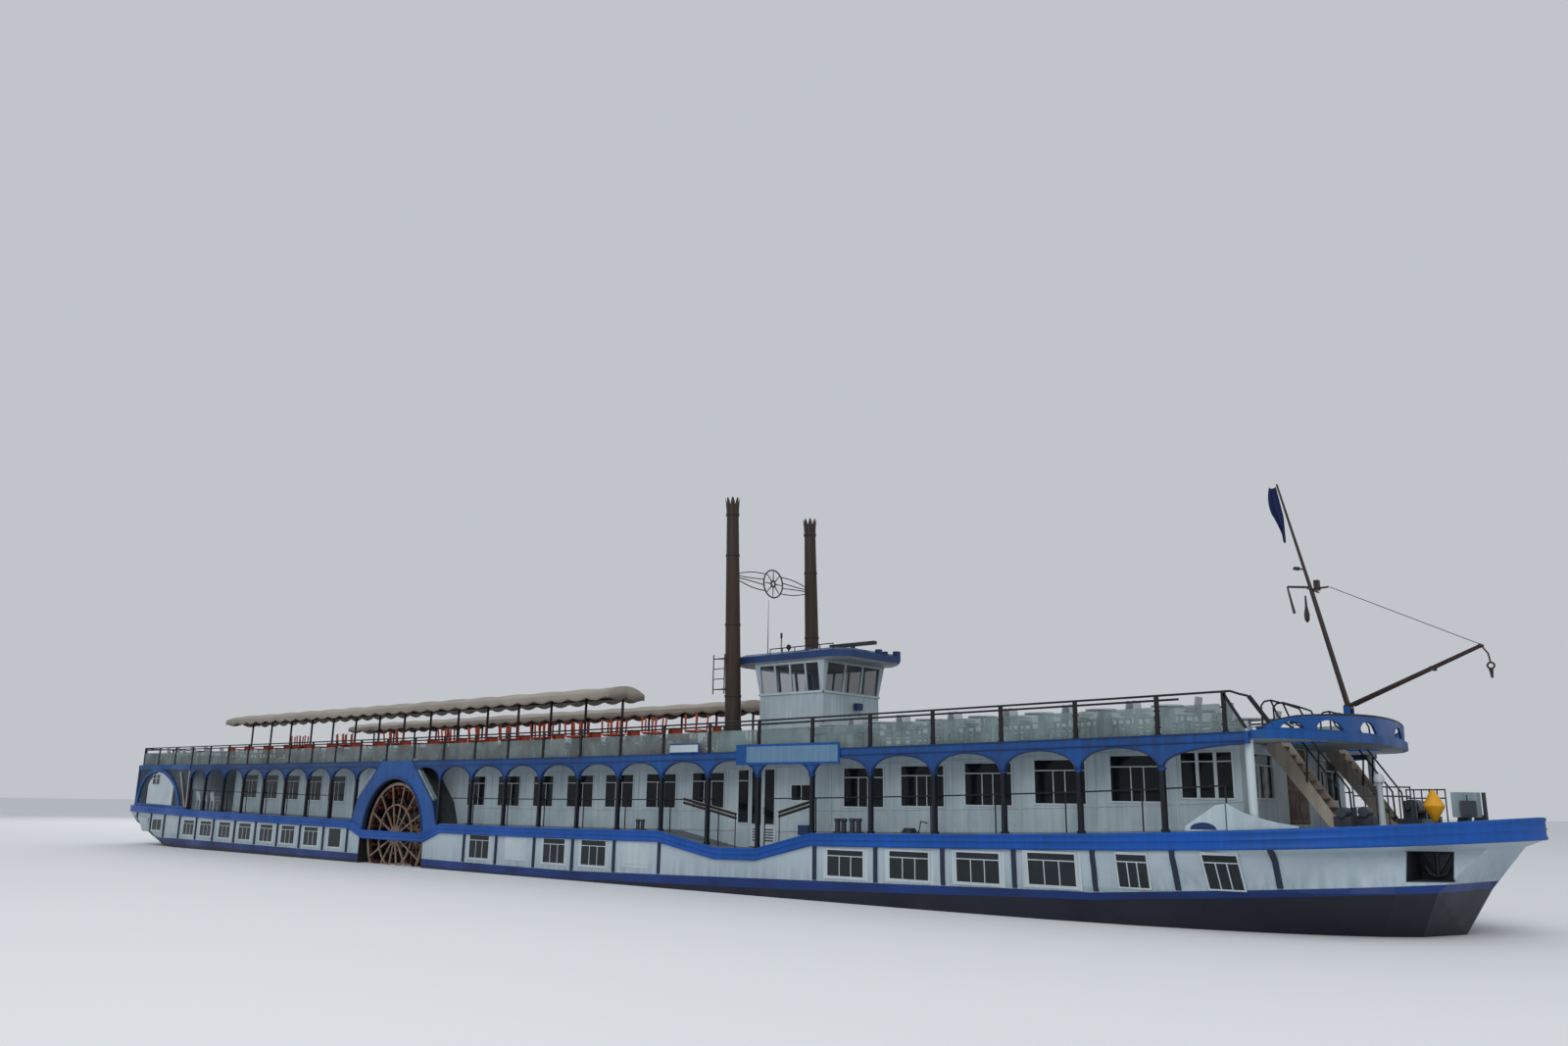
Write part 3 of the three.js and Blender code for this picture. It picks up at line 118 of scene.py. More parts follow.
# Shapes gathered from points and faces, and made into one piece
class Shape:
    def __init__(self, points=(), faces=()):
        self.points = list(points)
        self.faces = list(faces)

    def add(self, points, faces):
        start = len(self.points)
        self.points += [tuple(point) for point in points]
        self.faces += [tuple(start + index for index in face) for face in faces]
        return self

    # Boxes, each from its lowest to its highest corner
    def box(self, *corners):
        walls = ((0, 1, 3, 2), (4, 6, 7, 5), (0, 4, 5, 1), (2, 3, 7, 6), (0, 2, 6, 4), (1, 5, 7, 3))
        for low, high in zip(corners[::2], corners[1::2]):
            self.add(product(*zip(low, high)), walls)
        return self

    def slab(self, outline, push):
        count = len(outline)
        far = [tuple(Vector(point) + Vector(push)) for point in outline]
        walls = [(k, (k + 1) % count, count + (k + 1) % count, count + k) for k in range(count)]
        ends = [tuple(range(count))[::-1], tuple(range(count, 2 * count))]
        return self.add(list(outline) + far, ends + walls)

    # A plate in the plane of X and Z
    def plate(self, y, outline, thick):
        return self.slab([(x, y, z) for x, z in outline], (0, thick, 0))

    def loft(self, rings, closed=True, loop=False):
        count, rows = len(rings[0]), len(rings)
        faces = []
        for ring in range(rows if loop else rows - 1):
            for k in range(count if closed else count - 1):
                n = (k + 1) % count
                a, b = ring * count, ((ring + 1) % rows) * count
                faces.append((a + k, a + n, b + n, b + k))
        if closed and not loop:
            faces.append(tuple(range(count))[::-1])
            faces.append(tuple(range((rows - 1) * count, rows * count)))
        return self.add([point for ring in rings for point in ring], faces)

    def rod(self, path, radius, count=6, tip=None):
        path = [Vector(point) for point in path]
        last = len(path) - 1
        rings = []
        for index, point in enumerate(path):
            way = (path[min(index + 1, last)] - path[max(index - 1, 0)]).normalized()
            across = way.cross(Vector((0, 0, 1)) if abs(way.z) < 0.95 else Vector((1, 0, 0))).normalized()
            lift = across.cross(way).normalized()
            size = radius if tip is None else radius + (tip - radius) * index / last
            rings.append([point + (across * cos + lift * sin) * size for cos, sin in circle(count)])
        return self.loft(rings)

    # A flat bar between two points: its width lies across the way given
    def bar(self, start, end, wide, deep, across=(0, 1, 0)):
        start, end, across = Vector(start), Vector(end), Vector(across)
        way = (end - start).normalized()
        across = (across - way * across.dot(way)).normalized() * wide / 2
        lift = way.cross(across).normalized() * deep / 2
        corners = ((-1, -1), (1, -1), (1, 1), (-1, 1))
        return self.loft([[middle + across * a + lift * b for a, b in corners] for middle in (start, end)])

    def ring(self, middle, normal, radius, thick, count=24, round=6):
        normal = Vector(normal).normalized()
        across = normal.orthogonal().normalized()
        lift = normal.cross(across)
        rings = []
        for cos, sin in circle(count):
            outward = across * cos + lift * sin
            point = Vector(middle) + outward * radius
            rings.append([point + (outward * c + normal * s) * thick for c, s in circle(round)])
        return self.loft(rings, loop=True)

    # A flat curved band that stands across the ship's side, in the plane of X and Z
    def band(self, middle, inner, outer, near, far, start=0, end=360, count=48):
        whole = end - start >= 360
        rings = []
        for k in range(count if whole else count + 1):
            turn = math.radians(start + (end - start) * k / count)
            rings.append([
                (middle[0] + r * math.cos(turn), y, middle[1] + r * math.sin(turn))
                for r, y in ((inner, near), (outer, near), (outer, far), (inner, far))
            ])
        return self.loft(rings, loop=whole)

    def turned(self, middle, profile, count=16, lean=0.0):
        tilt = Matrix.Rotation(math.radians(-lean), 4, "Y")
        middle = Vector(middle)
        return self.loft([[middle + tilt @ Vector((radius * cos, radius * sin, height))
                           for cos, sin in circle(count)] for radius, height in profile])

    # The starboard shape, or its mirror image on the port side
    def onSide(self, side):
        if side < 0:
            return Shape(self.points, self.faces)
        return Shape([(x, -y, z) for x, y, z in self.points], [face[::-1] for face in self.faces])

    def mirrored(self):
        port = self.onSide(1)
        return self.add(port.points, port.faces)

    def mesh(self, name):
        made = bpy.data.meshes.new(name)
        made.from_pydata([tuple(point) for point in self.points], [], self.faces)
        work = bmesh.new()
        work.from_mesh(made)
        bmesh.ops.recalc_face_normals(work, faces=work.faces)
        work.to_mesh(made)
        work.free()
        return made


# Each piece takes its paint as its one material; the slot it names, or else its paint's slot in the record,
# is looked up but not set
def place(mesh, name, finish, body="ship", slot=None, smooth=None, bevel=0):
    piece = bpy.data.objects.new(name, mesh)
    mesh.name = name
    bpy.context.scene.collection.objects.link(piece)
    mesh.materials.clear()
    mesh.materials.append(paints[finish])
    if smooth:
        mesh.shade_smooth()
        mesh.set_sharp_from_angle(angle=math.radians(smooth))
    if bevel:
        soften = piece.modifiers.new("softEdges", "BEVEL")
        soften.width = bevel
        soften.segments = 2
        soften.limit_method = "ANGLE"
    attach(piece, body)
    slot or slotOf[finish]
    return piece


def finishShape(shape, name, finish, body="ship", slot=None, smooth=None, bevel=0):
    return place(shape.mesh(name), name, finish, body, slot, smooth, bevel)


# Nodes by kind and inputs, in any tree
def addNode(tree, kind, inputs=None, **settings):
    made = tree.nodes.new(kind)
    for key, value in settings.items():
        setattr(made, key, value)
    for key, value in (inputs or {}).items():
        if isinstance(value, bpy.types.NodeSocket):
            tree.links.new(value, made.inputs[key])
        else:
            made.inputs[key].default_value = value
    return made


# Paint: a material whose methods add nodes and give back their sockets. It starts from the piece's own place
class Paint:
    def __init__(self, name, metal=0.0, shine=0.3):
        self.material = bpy.data.materials.new(name)
        self.material.use_nodes = True
        self.tree = self.material.node_tree
        self.shader = self.tree.nodes["Principled BSDF"]
        self.set({"Metallic": metal, "Specular IOR Level": shine})
        self.place = self.node("TexCoord").outputs["Object"]

    def node(self, kind, inputs=None, **settings):
        return addNode(self.tree, "ShaderNode" + kind, inputs, **settings)

    def set(self, inputs):
        for key, value in inputs.items():
            if isinstance(value, bpy.types.NodeSocket):
                self.tree.links.new(value, self.shader.inputs[key])
            else:
                self.shader.inputs[key].default_value = value

    def axes(self, place=None):
        return self.node("SeparateXYZ", {0: place or self.place}).outputs

    def math(self, operation, first, second=0.5, clamp=False):
        return self.node("Math", {0: first, 1: second}, operation=operation, use_clamp=clamp).outputs[0]

    def times(self, first, second, clamp=False):
        return self.math("MULTIPLY", first, second, clamp)

    def plus(self, first, second, clamp=False):
        return self.math("ADD", first, second, clamp)

    def mix(self, share, first, second):
        first, second = ((*tint, 1) if isinstance(tint, tuple) else tint for tint in (first, second))
        return self.node("Mix", {0: share, 6: first, 7: second}, data_type="RGBA").outputs[2]

    def ranged(self, value, low, high, start=0.0, end=1.0):
        return self.node("MapRange", {0: value, 1: low, 2: high, 3: start, 4: end}).outputs[0]

    # 1 where a value lies between two others
    def between(self, value, low, high):
        over = self.times(self.math("SUBTRACT", value, low), 150, True)
        return self.times(over, self.times(self.math("SUBTRACT", high, value), 150, True))

    def noise(self, scale, detail=3, stretch=(1, 1, 1)):
        moved = self.node("Mapping", {"Vector": self.place, "Scale": stretch})
        cloud = self.node("TexNoise", {"Vector": moved.outputs[0], "Scale": scale, "Detail": detail})
        return self.ranged(cloud.outputs[0], 0.35, 0.65)

    # Plates or boards in rows, with a thin line between them
    def bricks(self, place, first, second, line, width, length, row):
        return self.node("TexBrick", {
            "Vector": place, "Color1": (*first, 1), "Color2": (*second, 1), "Mortar": (*line, 1),
            "Scale": 1.0, "Mortar Size": width, "Brick Width": length, "Row Height": row,
        }).outputs[0]

    # A surface that faces up is 1 here, and one that faces down is -1
    def facing(self):
        return self.axes(self.node("NewGeometry").outputs["Normal"])["Z"]

    # Clouds, and the worn share from clouds and streaks together
    def wear(self, cloud=1.4, streaks=0.5):
        patches = self.noise(cloud)
        runs = self.times(self.noise(3, 4, (6, 6, 0.35)), streaks)
        return patches, self.plus(self.times(patches, 0.5), runs, True)

    def bump(self, height, strength, distance, under=None):
        inputs = {"Height": height, "Strength": strength, "Distance": distance}
        if under:
            inputs["Normal"] = under
        return self.node("Bump", inputs).outputs[0]

    def finish(self, colour, patches, gloss=(0.35, 0.6), bump=0.15, grain=60):
        lift = self.bump(self.noise(grain, 2), bump, 0.004)
        self.set({"Base Color": colour, "Roughness": self.ranged(patches, 0, 1, *gloss), "Normal": lift})
        return self.material


# A colour with cloudy and streaked worn places, a varying gloss and a fine bump
def makePaint(name, colour, worn, cloud=1.4, streaks=0.5, metal=0.0, **surface):
    paint = Paint(name, metal)
    patches, share = paint.wear(cloud, streaks)
    return paint.finish(paint.mix(share, colour, worn), patches, **surface)


def makeGlass(name, colour, alpha):
    glass = Paint(name, shine=0.2)
    cloudy = glass.noise(2.5)
    tint = glass.mix(cloudy, colour, tuple(part * 0.5 for part in colour))
    glass.set({"Base Color": tint, "Roughness": glass.ranged(cloudy, 0, 1, 0.04, 0.12), "Alpha": alpha})
    return glass.material


satin, matt = (0.35, 0.5), (0.8, 1.0)
# Paints: colour, colour of the worn places, and what differs from a usual paint
paintRows = {
    "white": ((0.46, 0.54, 0.58), (0.31, 0.39, 0.43), {}),
    "frameWhite": ((0.52, 0.59, 0.62), (0.38, 0.44, 0.47), {"streaks": 0.3}),
    "belt": ((0.002, 0.085, 0.42), (0.004, 0.060, 0.25), {"gloss": (0.35, 0.55)}),
    "fascia": ((0.002, 0.078, 0.31), (0.005, 0.052, 0.17), {}),
    "navy": ((0.010, 0.020, 0.055), (0.02, 0.03, 0.05), {}),
    "arch": ((0.010, 0.032, 0.12), (0.012, 0.028, 0.075), {}),
    "black": ((0.006, 0.006, 0.009), (0.016, 0.014, 0.017), {"gloss": (0.5, 0.75)}),
    "funnel": ((0.022, 0.014, 0.012), (0.05, 0.03, 0.022), {"gloss": (0.45, 0.75)}),
    "mast": ((0.022, 0.012, 0.011), (0.045, 0.026, 0.020), {}),
    "panel": ((0.24, 0.31, 0.33), (0.15, 0.21, 0.22), {"streaks": 0.9, "gloss": (0.25, 0.55)}),
    "sign": ((0.13, 0.24, 0.36), (0.09, 0.18, 0.29), {"gloss": (0.3, 0.5)}),
    "sternDark": ((0.014, 0.035, 0.060), (0.010, 0.02, 0.03), {}),
    "wheelRed": ((0.10, 0.014, 0.010), (0.03, 0.010, 0.008), {"gloss": (0.25, 0.6)}),
    "spokes": ((0.34, 0.25, 0.19), (0.16, 0.11, 0.08), {"streaks": 0.9}),
    "iron": ((0.05, 0.06, 0.075), (0.03, 0.035, 0.04), {"metal": 0.3}),
    "beige": ((0.40, 0.35, 0.29), (0.26, 0.22, 0.18), {}),
    "chairRed": ((0.42, 0.050, 0.012), (0.28, 0.035, 0.012), {"gloss": satin, "bump": 0.05}),
    "chairWhite": ((0.50, 0.54, 0.56), (0.38, 0.42, 0.44), {"gloss": satin, "bump": 0.05}),
    "orange": ((0.72, 0.36, 0.012), (0.52, 0.22, 0.010), {}),
    "curtain": ((0.085, 0.014, 0.012), (0.035, 0.008, 0.008),
                {"cloud": 3, "gloss": (0.85, 1.0), "bump": 0.4, "grain": 300}),
    "wood": ((0.16, 0.085, 0.05), (0.09, 0.045, 0.028), {"cloud": 4}),
    "tread": ((0.12, 0.035, 0.02), (0.06, 0.02, 0.015), {"cloud": 5}),
    "antifouling": ((0.13, 0.02, 0.018), (0.05, 0.015, 0.015), {"gloss": (0.7, 0.95)}),
    "pennant": ((0.010, 0.022, 0.10), (0.008, 0.014, 0.05), {"gloss": matt, "bump": 0.4, "grain": 400}),
}
paints = {name: makePaint(name + "Paint", *row[:2], **row[2]) for name, row in paintRows.items()}
for name, tint, alpha in (
    ("glass", (0.010, 0.014, 0.018), 0.82), ("clearGlass", (0.03, 0.04, 0.05), 0.35),
    ("railGlass", (0.22, 0.30, 0.30), 0.55),
):
    paints[name] = makeGlass(name, tint, alpha)

# The paints of each slot in the record
slotOf = {name: slot for slot, names in {
    "saloon_white": "white frameWhite sign beige panel", "arch_navy": "navy arch sternDark",
    "frame_blue": "fascia gallery pennant", "belt_blue": "belt", "rail_paint": "black railGlass",
    "window_glass": "glass clearGlass", "wheel_red": "wheelRed", "wheel_spokes": "spokes",
    "funnel_black": "funnel", "mast_black": "mast", "iron_grey": "iron", "chair_red": "chairRed",
    "table_white": "chairWhite", "signal_orange": "orange", "curtain_red": "curtain",
    "wood_brown": "wood tread", "awning_canvas": "canvas",
}.items() for name in names.split()}

# Top of the blue boot stripe, which rises towards the bow: (from, to, start, end) parts added together
stripeRises = ((-12.0, 2.0, 0.06, 0.0), (3.0, 12.0, 0.155, 0.345), (12.5, 16.5, 0.0, 0.26))


def stripeTop(x):
    return sum(c + (d - c) * min(max((x - a) / (b - a), 0), 1) for a, b, c, d in stripeRises)


# Hull: pale above the boot stripe, black below it, grey on deck, and near-black painted shade in the anchor
# pockets and wheel wells
def makeHullPaint():
    paint = Paint("hullPaint")
    x, _, z = paint.axes()
    top = 0.0
    for a, b, c, d in stripeRises:
        top = paint.plus(paint.ranged(x, a, b, c, d), top)
    above = paint.math("SUBTRACT", z, top)
    white = paint.times(paint.plus(above, 0.004), 120, True)
    stripe = paint.times(paint.plus(above, paint.ranged(x, 8.0, 13.0, 0.135, 0.085)), 120, True)
    patches = paint.noise(0.9, 4)
    runs = paint.noise(2.6, 5, (5, 5, 0.25))
    grime = paint.times(paint.times(runs, paint.ranged(above, 0.32, 0.0)), 0.55)
    dirt = paint.plus(paint.times(patches, 0.35), grime, True)
    pale = paint.mix(dirt, (0.43, 0.51, 0.56), (0.22, 0.29, 0.33))
    blue = paint.mix(patches, (0.006, 0.040, 0.20), (0.008, 0.022, 0.10))
    black = paint.mix(patches, (0.006, 0.007, 0.018), (0.016, 0.018, 0.03))
    side = paint.mix(white, paint.mix(stripe, black, blue), pale)
    # Painted shade: the anchor pockets are painted near-black for the shade inside the recess
    pocketShade = paint.times(paint.between(x, 15.69, 16.06), paint.between(z, 0.59, 0.91))
    side = paint.mix(pocketShade, side, (0.012, 0.014, 0.02))
    # Painted shade: the hull side behind the paddle wheels is painted near-black for the shade in the wheel
    # wells
    side = paint.mix(paint.between(x, -3.94, -1.56), side, (0.018, 0.017, 0.018))
    floor = paint.mix(paint.noise(3, 4), (0.13, 0.15, 0.16), (0.08, 0.095, 0.10))
    colour = paint.mix(paint.math("GREATER_THAN", paint.facing(), 0.8), side, floor)
    paint.finish(colour, patches, (0.32, 0.55), 0.10)
    flat = paint.node("CombineXYZ", {0: x, 1: z}).outputs[0]
    seams = paint.bricks(flat, (1, 1, 1), (1, 1, 1), (0, 0, 0), 0.004, 2.09, 0.62)
    fine = paint.shader.inputs["Normal"].links[0].from_socket
    plates = paint.bump(seams, 0.35, 0.003, fine)
    paint.set({"Normal": paint.bump(paint.noise(1.6), 0.25, 0.02, plates)})
    return paint.material


# Gallery: blue fascia and arches, near-black posts below the springing, and greener aft
def makeGalleryPaint():
    paint = Paint("galleryPaint")
    x, _, z = paint.axes()
    share = paint.math("DIVIDE", x, ship["halfLength"])
    rise = paint.ranged(paint.times(share, share), 0, 1, 0, 0.12)
    level = paint.math("SUBTRACT", z, rise)
    upper = paint.times(paint.math("SUBTRACT", level, 1.645), 60, True)
    patches, share = paint.wear(1.2, 0.6)
    bright = paint.mix(paint.ranged(x, 4.0, -6.0, 0.0, 0.8), (0.002, 0.078, 0.31), (0.007, 0.050, 0.14))
    blue = paint.mix(share, bright, (0.012, 0.045, 0.15))
    dark = paint.mix(share, (0.003, 0.004, 0.009), (0.008, 0.010, 0.018))
    return paint.finish(paint.mix(upper, dark, blue), patches, (0.42, 0.65), 0.12, 50)


# Paddle box: blue outer face, and pale walls behind it painted dark grey as painted shade
def makeBoxPaint():
    paint = Paint("boxPaint")
    face = paint.math("GREATER_THAN", paint.math("ABSOLUTE", paint.axes()[1]), ship["galleryInner"] + 0.002)
    patches, share = paint.wear(1.2, 0.7)
    blue = paint.mix(share, (0.002, 0.085, 0.34), (0.006, 0.055, 0.20))
    # Painted shade: the walls behind the face are white, painted dark grey for the shade they stand in
    walls = paint.mix(share, (0.055, 0.060, 0.062), (0.025, 0.026, 0.03))
    return paint.finish(paint.mix(face, walls, blue), patches, (0.28, 0.5))


# Sun deck: grey boards on top, a pale underside and a blue edge
def makeDeckPaint():
    paint = Paint("deckPaint")
    patches, share = paint.wear(2.0, 0.5)
    boards = paint.bricks(paint.place, (0.17, 0.19, 0.20), (0.12, 0.14, 0.15), (0.03, 0.03, 0.03),
                          0.003, 2.4, 0.10)
    top = paint.mix(share, boards, (0.09, 0.10, 0.11))
    pale = paint.mix(patches, (0.40, 0.44, 0.46), (0.26, 0.30, 0.32))
    edge = paint.mix(patches, (0.002, 0.090, 0.36), (0.006, 0.06, 0.20))
    up = paint.facing()
    colour = paint.mix(paint.math("GREATER_THAN", up, 0.5), edge, top)
    colour = paint.mix(paint.math("LESS_THAN", up, -0.5), colour, pale)
    return paint.finish(colour, patches, (0.6, 0.9), 0.3, 160)


# Roof: blue on top and at its edges, and pale below
def makeRoofPaint():
    paint = Paint("roofPaint")
    patches, share = paint.wear(1.6, 0.4)
    blue = paint.mix(share, (0.010, 0.045, 0.16), (0.016, 0.035, 0.09))
    pale = paint.mix(share, (0.42, 0.44, 0.45), (0.30, 0.32, 0.33))
    return paint.finish(paint.mix(paint.math("LESS_THAN", paint.facing(), -0.3), blue, pale), patches)


# Stairs: beige sides and brown treads between them
def makeStairPaint():
    paint = Paint("stairPaint")
    patches, share = paint.wear(3.0, 0.6)
    off = paint.math("SUBTRACT", paint.math("ABSOLUTE", paint.axes()[1]), 1.0)
    tread = paint.math("LESS_THAN", paint.math("ABSOLUTE", off), 0.1635)
    beige = paint.mix(share, (0.40, 0.36, 0.30), (0.26, 0.22, 0.18))
    brown = paint.mix(share, (0.15, 0.045, 0.025), (0.08, 0.025, 0.016))
    return paint.finish(paint.mix(tread, beige, brown), patches, (0.4, 0.7))


# Canvas: a weave with folds, cloudy darker tone, and darkening towards the foot of the skirt
def makeCanvas():
    paint = Paint("canvas")
    # The canvas grows darker towards the foot of the skirt
    low = paint.ranged(paint.axes()[2], 3.16, 2.99)
    dirt = paint.plus(paint.times(paint.noise(1.1, 4), 0.5), paint.times(low, 0.4), True)
    weave = paint.node("TexWave", {"Vector": paint.place, "Scale": 90.0, "Distortion": 1.5}).outputs[1]
    fine = paint.bump(weave, 0.2, 0.002)
    paint.set({
        "Base Color": paint.mix(dirt, (0.35, 0.31, 0.26), (0.20, 0.17, 0.14)), "Roughness": 0.92,
        "Sheen Weight": 0.15, "Normal": paint.bump(paint.noise(2.2, 3, (1, 4, 1)), 0.3, 0.02, fine),
    })
    return paint.material


paints.update(hull=makeHullPaint(), gallery=makeGalleryPaint(), box=makeBoxPaint(), deck=makeDeckPaint(),
              roof=makeRoofPaint(), stair=makeStairPaint(), canvas=makeCanvas())

# Paints of the frame's nodes, by the start of their names
coats = {
    "hull": "hull", "belt": "belt", "sun_deck": "deck", "gallery": "gallery", "paddle_box": "box",
    "paddle_wheel": "wheelRed", "saloon": "white", "door": "frameWhite", "stern_house": "white",
    "stern_arch": "arch", "rail": "black", "front_parapet": "fascia", "stern_rail": "black",
    "wheelhouse": "white", "wheelhouse_door": "frameWhite", "wheelhouse_roof": "roof", "radar_arm": "iron",
    "funnel": "funnel", "funnel_base": "panel", "awning": "canvas", "awning_frame": "black",
    "foremast": "mast", "gin_pole": "mast", "mast_stay": "iron", "mast_foot": "fascia",
    "fore_stair": "stair", "front_column": "frameWhite", "wing_bulwark": "white",
    "rudder": "antifouling", "windlass": "iron",
}
for nodeName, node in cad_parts.items():
    key = max((key for key in coats if nodeName.startswith(key)), key=len)
    for held in node.material_slots:
        held.material = paints[coats[key]]
print("finishes made")


# A geometry tree with named inputs, and the sockets that they arrive at
def startTree(name, rows):
    tree = bpy.data.node_groups.new(name, "GeometryNodeTree")
    for label, kind, value in (("Geometry", "Geometry", None), *rows, ("Finish", "Material", None)):
        made = tree.interface.new_socket(label, in_out="INPUT", socket_type="NodeSocket" + kind)
        if value is not None:
            made.default_value = value
    tree.interface.new_socket("Geometry", in_out="OUTPUT", socket_type="NodeSocketGeometry")
    return tree, addNode(tree, "NodeGroupInput").outputs


def endTree(tree, given, made):
    real = addNode(tree, "GeometryNodeRealizeInstances", {0: made.outputs[0]})
    coated = addNode(tree, "GeometryNodeSetMaterial", {0: real.outputs[0], "Material": given["Finish"]})
    addNode(tree, "NodeGroupOutput", {0: coated.outputs[0]})
    return tree


# A tree that sets one shape on every point, with each point's own turn and size
def makePlaceTree():
    tree, given = startTree("placeShapes", [("Shape", "Object", None)])
    shape = addNode(tree, "GeometryNodeObjectInfo", {"Object": given["Shape"]})
    turn, size = (addNode(tree, "GeometryNodeInputNamedAttribute", {"Name": key}, data_type="FLOAT_VECTOR")
                  for key in ("turn", "size"))
    turned = addNode(tree, "FunctionNodeEulerToRotation", {0: turn.outputs[0]})
    return endTree(tree, given, addNode(tree, "GeometryNodeInstanceOnPoints", {
        "Points": given["Geometry"], "Instance": shape.outputs["Geometry"],
        "Rotation": turned.outputs[0], "Scale": size.outputs[0],
    }))


# A tree that runs a round bar along the edges of a mesh
def makePathTree():
    tree, given = startTree("barAlongPath", [("Radius", "Float", 0.01), ("Sides", "Int", 6)])
    curve = addNode(tree, "GeometryNodeMeshToCurve", {0: given["Geometry"]})
    ring = addNode(tree, "GeometryNodeCurvePrimitiveCircle", {
        "Resolution": given["Sides"], "Radius": given["Radius"]})
    return endTree(tree, given, addNode(tree, "GeometryNodeCurveToMesh", {
        "Curve": curve.outputs[0], "Profile Curve": ring.outputs[0], "Fill Caps": True}))


trees = {"place": makePlaceTree(), "path": makePathTree()}


def runTree(tree, base, name, inputs, finish, body, slot, smooth):
    carrier = bpy.data.objects.new(name + "Points", base)
    bpy.context.scene.collection.objects.link(carrier)
    step = carrier.modifiers.new("build", "NODES")
    step.node_group = tree
    inputs["Finish"] = paints[finish]
    for socket in tree.interface.items_tree:
        if socket.in_out == "INPUT" and socket.name in inputs:
            step[socket.identifier] = inputs[socket.name]
    bpy.context.view_layer.update()
    ready = carrier.evaluated_get(bpy.context.evaluated_depsgraph_get())
    mesh = bpy.data.meshes.new_from_object(ready)
    carrier.modifiers.remove(step)
    bpy.data.objects.remove(carrier)
    for extra in [entry.name for entry in mesh.attributes if entry.name in ("turn", "size")]:
        mesh.attributes.remove(mesh.attributes[extra])
    return place(mesh, name, finish, body, slot, smooth)


# Places: (point, turn about each axis in degrees, size along each axis)
def placeMany(shape, name, places, finish, slot=None, smooth=None):
    base = bpy.data.meshes.new(name + "Points")
    base.from_pydata([entry[0] for entry in places], [], [])
    turns = base.attributes.new("turn", "FLOAT_VECTOR", "POINT")
    sizes = base.attributes.new("size", "FLOAT_VECTOR", "POINT")
    for index, (_, turn, size) in enumerate(places):
        turns.data[index].vector = [math.radians(angle) for angle in turn]
        sizes.data[index].vector = size
    model = bpy.data.objects.new(name + "Shape", shape.mesh(name + "Shape"))
    bpy.context.scene.collection.objects.link(model)
    piece = runTree(trees["place"], base, name, {"Shape": model}, finish, "ship", slot, smooth)
    bpy.data.objects.remove(model)
    return piece


def barsAlong(paths, name, radius, finish, body="ship", slot=None, sides=6):
    points, edges = [], []
    for path in paths:
        edges += [(len(points) + k, len(points) + k + 1) for k in range(len(path) - 1)]
        points += [tuple(point) for point in path]
    base = bpy.data.meshes.new(name + "Path")
    base.from_pydata(points, edges, [])
    return runTree(trees["path"], base, name, {"Radius": radius, "Sides": sides}, finish, body, slot, 50)


# The hull's own skin, to seat ribs and windows on
def treeOf(names):
    points, faces = [], []
    for name in names:
        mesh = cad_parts[name].data
        start = len(points)
        points += [tuple(vertex.co) for vertex in mesh.vertices]
        faces += [tuple(start + index for index in face.vertices) for face in mesh.polygons]
    return BVHTree.FromPolygons(points, faces)


hullSkin = treeOf(("hull_fore", "hull_aft"))


def hullSide(x, z):
    found = hullSkin.ray_cast(Vector((x, -6, z)), Vector((0, 1, 0)))
    return found[0].y if found[0] is not None else -ship["halfBeam"]


# One flat plane that lies just outside the hull over a window, and within the belt's breadth
def hullPlane(x0, x1, z0, z1):
    spots = list(product(np.linspace(x0, x1, 7), np.linspace(z0, z1, 7)))
    depths = np.array([hullSide(x, z) for x, z in spots])
    system = np.array([(1, x, z) for x, z in spots])
    plane = np.linalg.lstsq(system, depths, rcond=None)[0]
    push = max(0.0, float((system @ plane - depths).max()))
    return lambda x, z: max(plane[0] + plane[1] * x + plane[2] * z - push, -ship["widest"])


# Ribs: their places in bays. Wide and narrow windows: the breadth of the board behind them and of their
# frame. Windows: place in bays, width, sill, head, and how far from the middle the upright bars stand (0 is
# one bar in the middle, None is no bar). Blank boards: place in bays, width, sill and head
hullTrim = {
    "ribs": [-4.73, -3.84, -3.01, -2.11, -1.16, -0.22, 0.88, 1.9, 2.93, 3.93, 4.92, 5.88, 9.94, 10.9, 11.97,
             12.98, 14.0, 15.03, 18.08, 19.1, 20.13, 21.13, 22.14, 23.07, 24.08],
    "ribHalf": 0.030, "ribProud": 0.028, "wide": (0.075, 0.035), "narrow": (0.02, 0.018),
    "windows": [
        (-4.93, 0.28, 0.56, 0.75, 0.05), (-3.46, 0.56, 0.40, 0.66, 0), (-1.58, 0.60, 0.333, 0.675, 0.1),
        (-0.64, 0.60, 0.33, 0.672, 0.1), (0.36, 0.60, 0.32, 0.668, 0.1), (1.38, 0.60, 0.31, 0.664, 0.1),
        (2.41, 0.60, 0.30, 0.66, 0.1), (3.4, 0.60, 0.29, 0.657, 0.1), (4.4, 0.60, 0.28, 0.653, 0.1),
        (5.38, 0.50, 0.28, 0.650, None), (10.4, 0.60, 0.258, 0.655, 0.1), (12.5, 0.58, 0.265, 0.657, 0.1),
        (13.5, 0.62, 0.27, 0.66, 0.1), (18.6, 0.62, 0.35, 0.689, 0.1), (19.62, 0.62, 0.365, 0.71, 0.1),
        (20.63, 0.62, 0.38, 0.735, 0.1), (21.62, 0.62, 0.402, 0.766, 0.1), (22.6, 0.36, 0.43, 0.79, 0.06),
        (23.58, 0.36, 0.46, 0.82, 0.06),
    ],
    "boards": [(-4.29, 0.62, 0.34, 0.70), (-2.57, 0.70, 0.34, 0.69), (11.45, 0.62, 0.262, 0.655),
               (14.5, 0.62, 0.275, 0.665)],
}


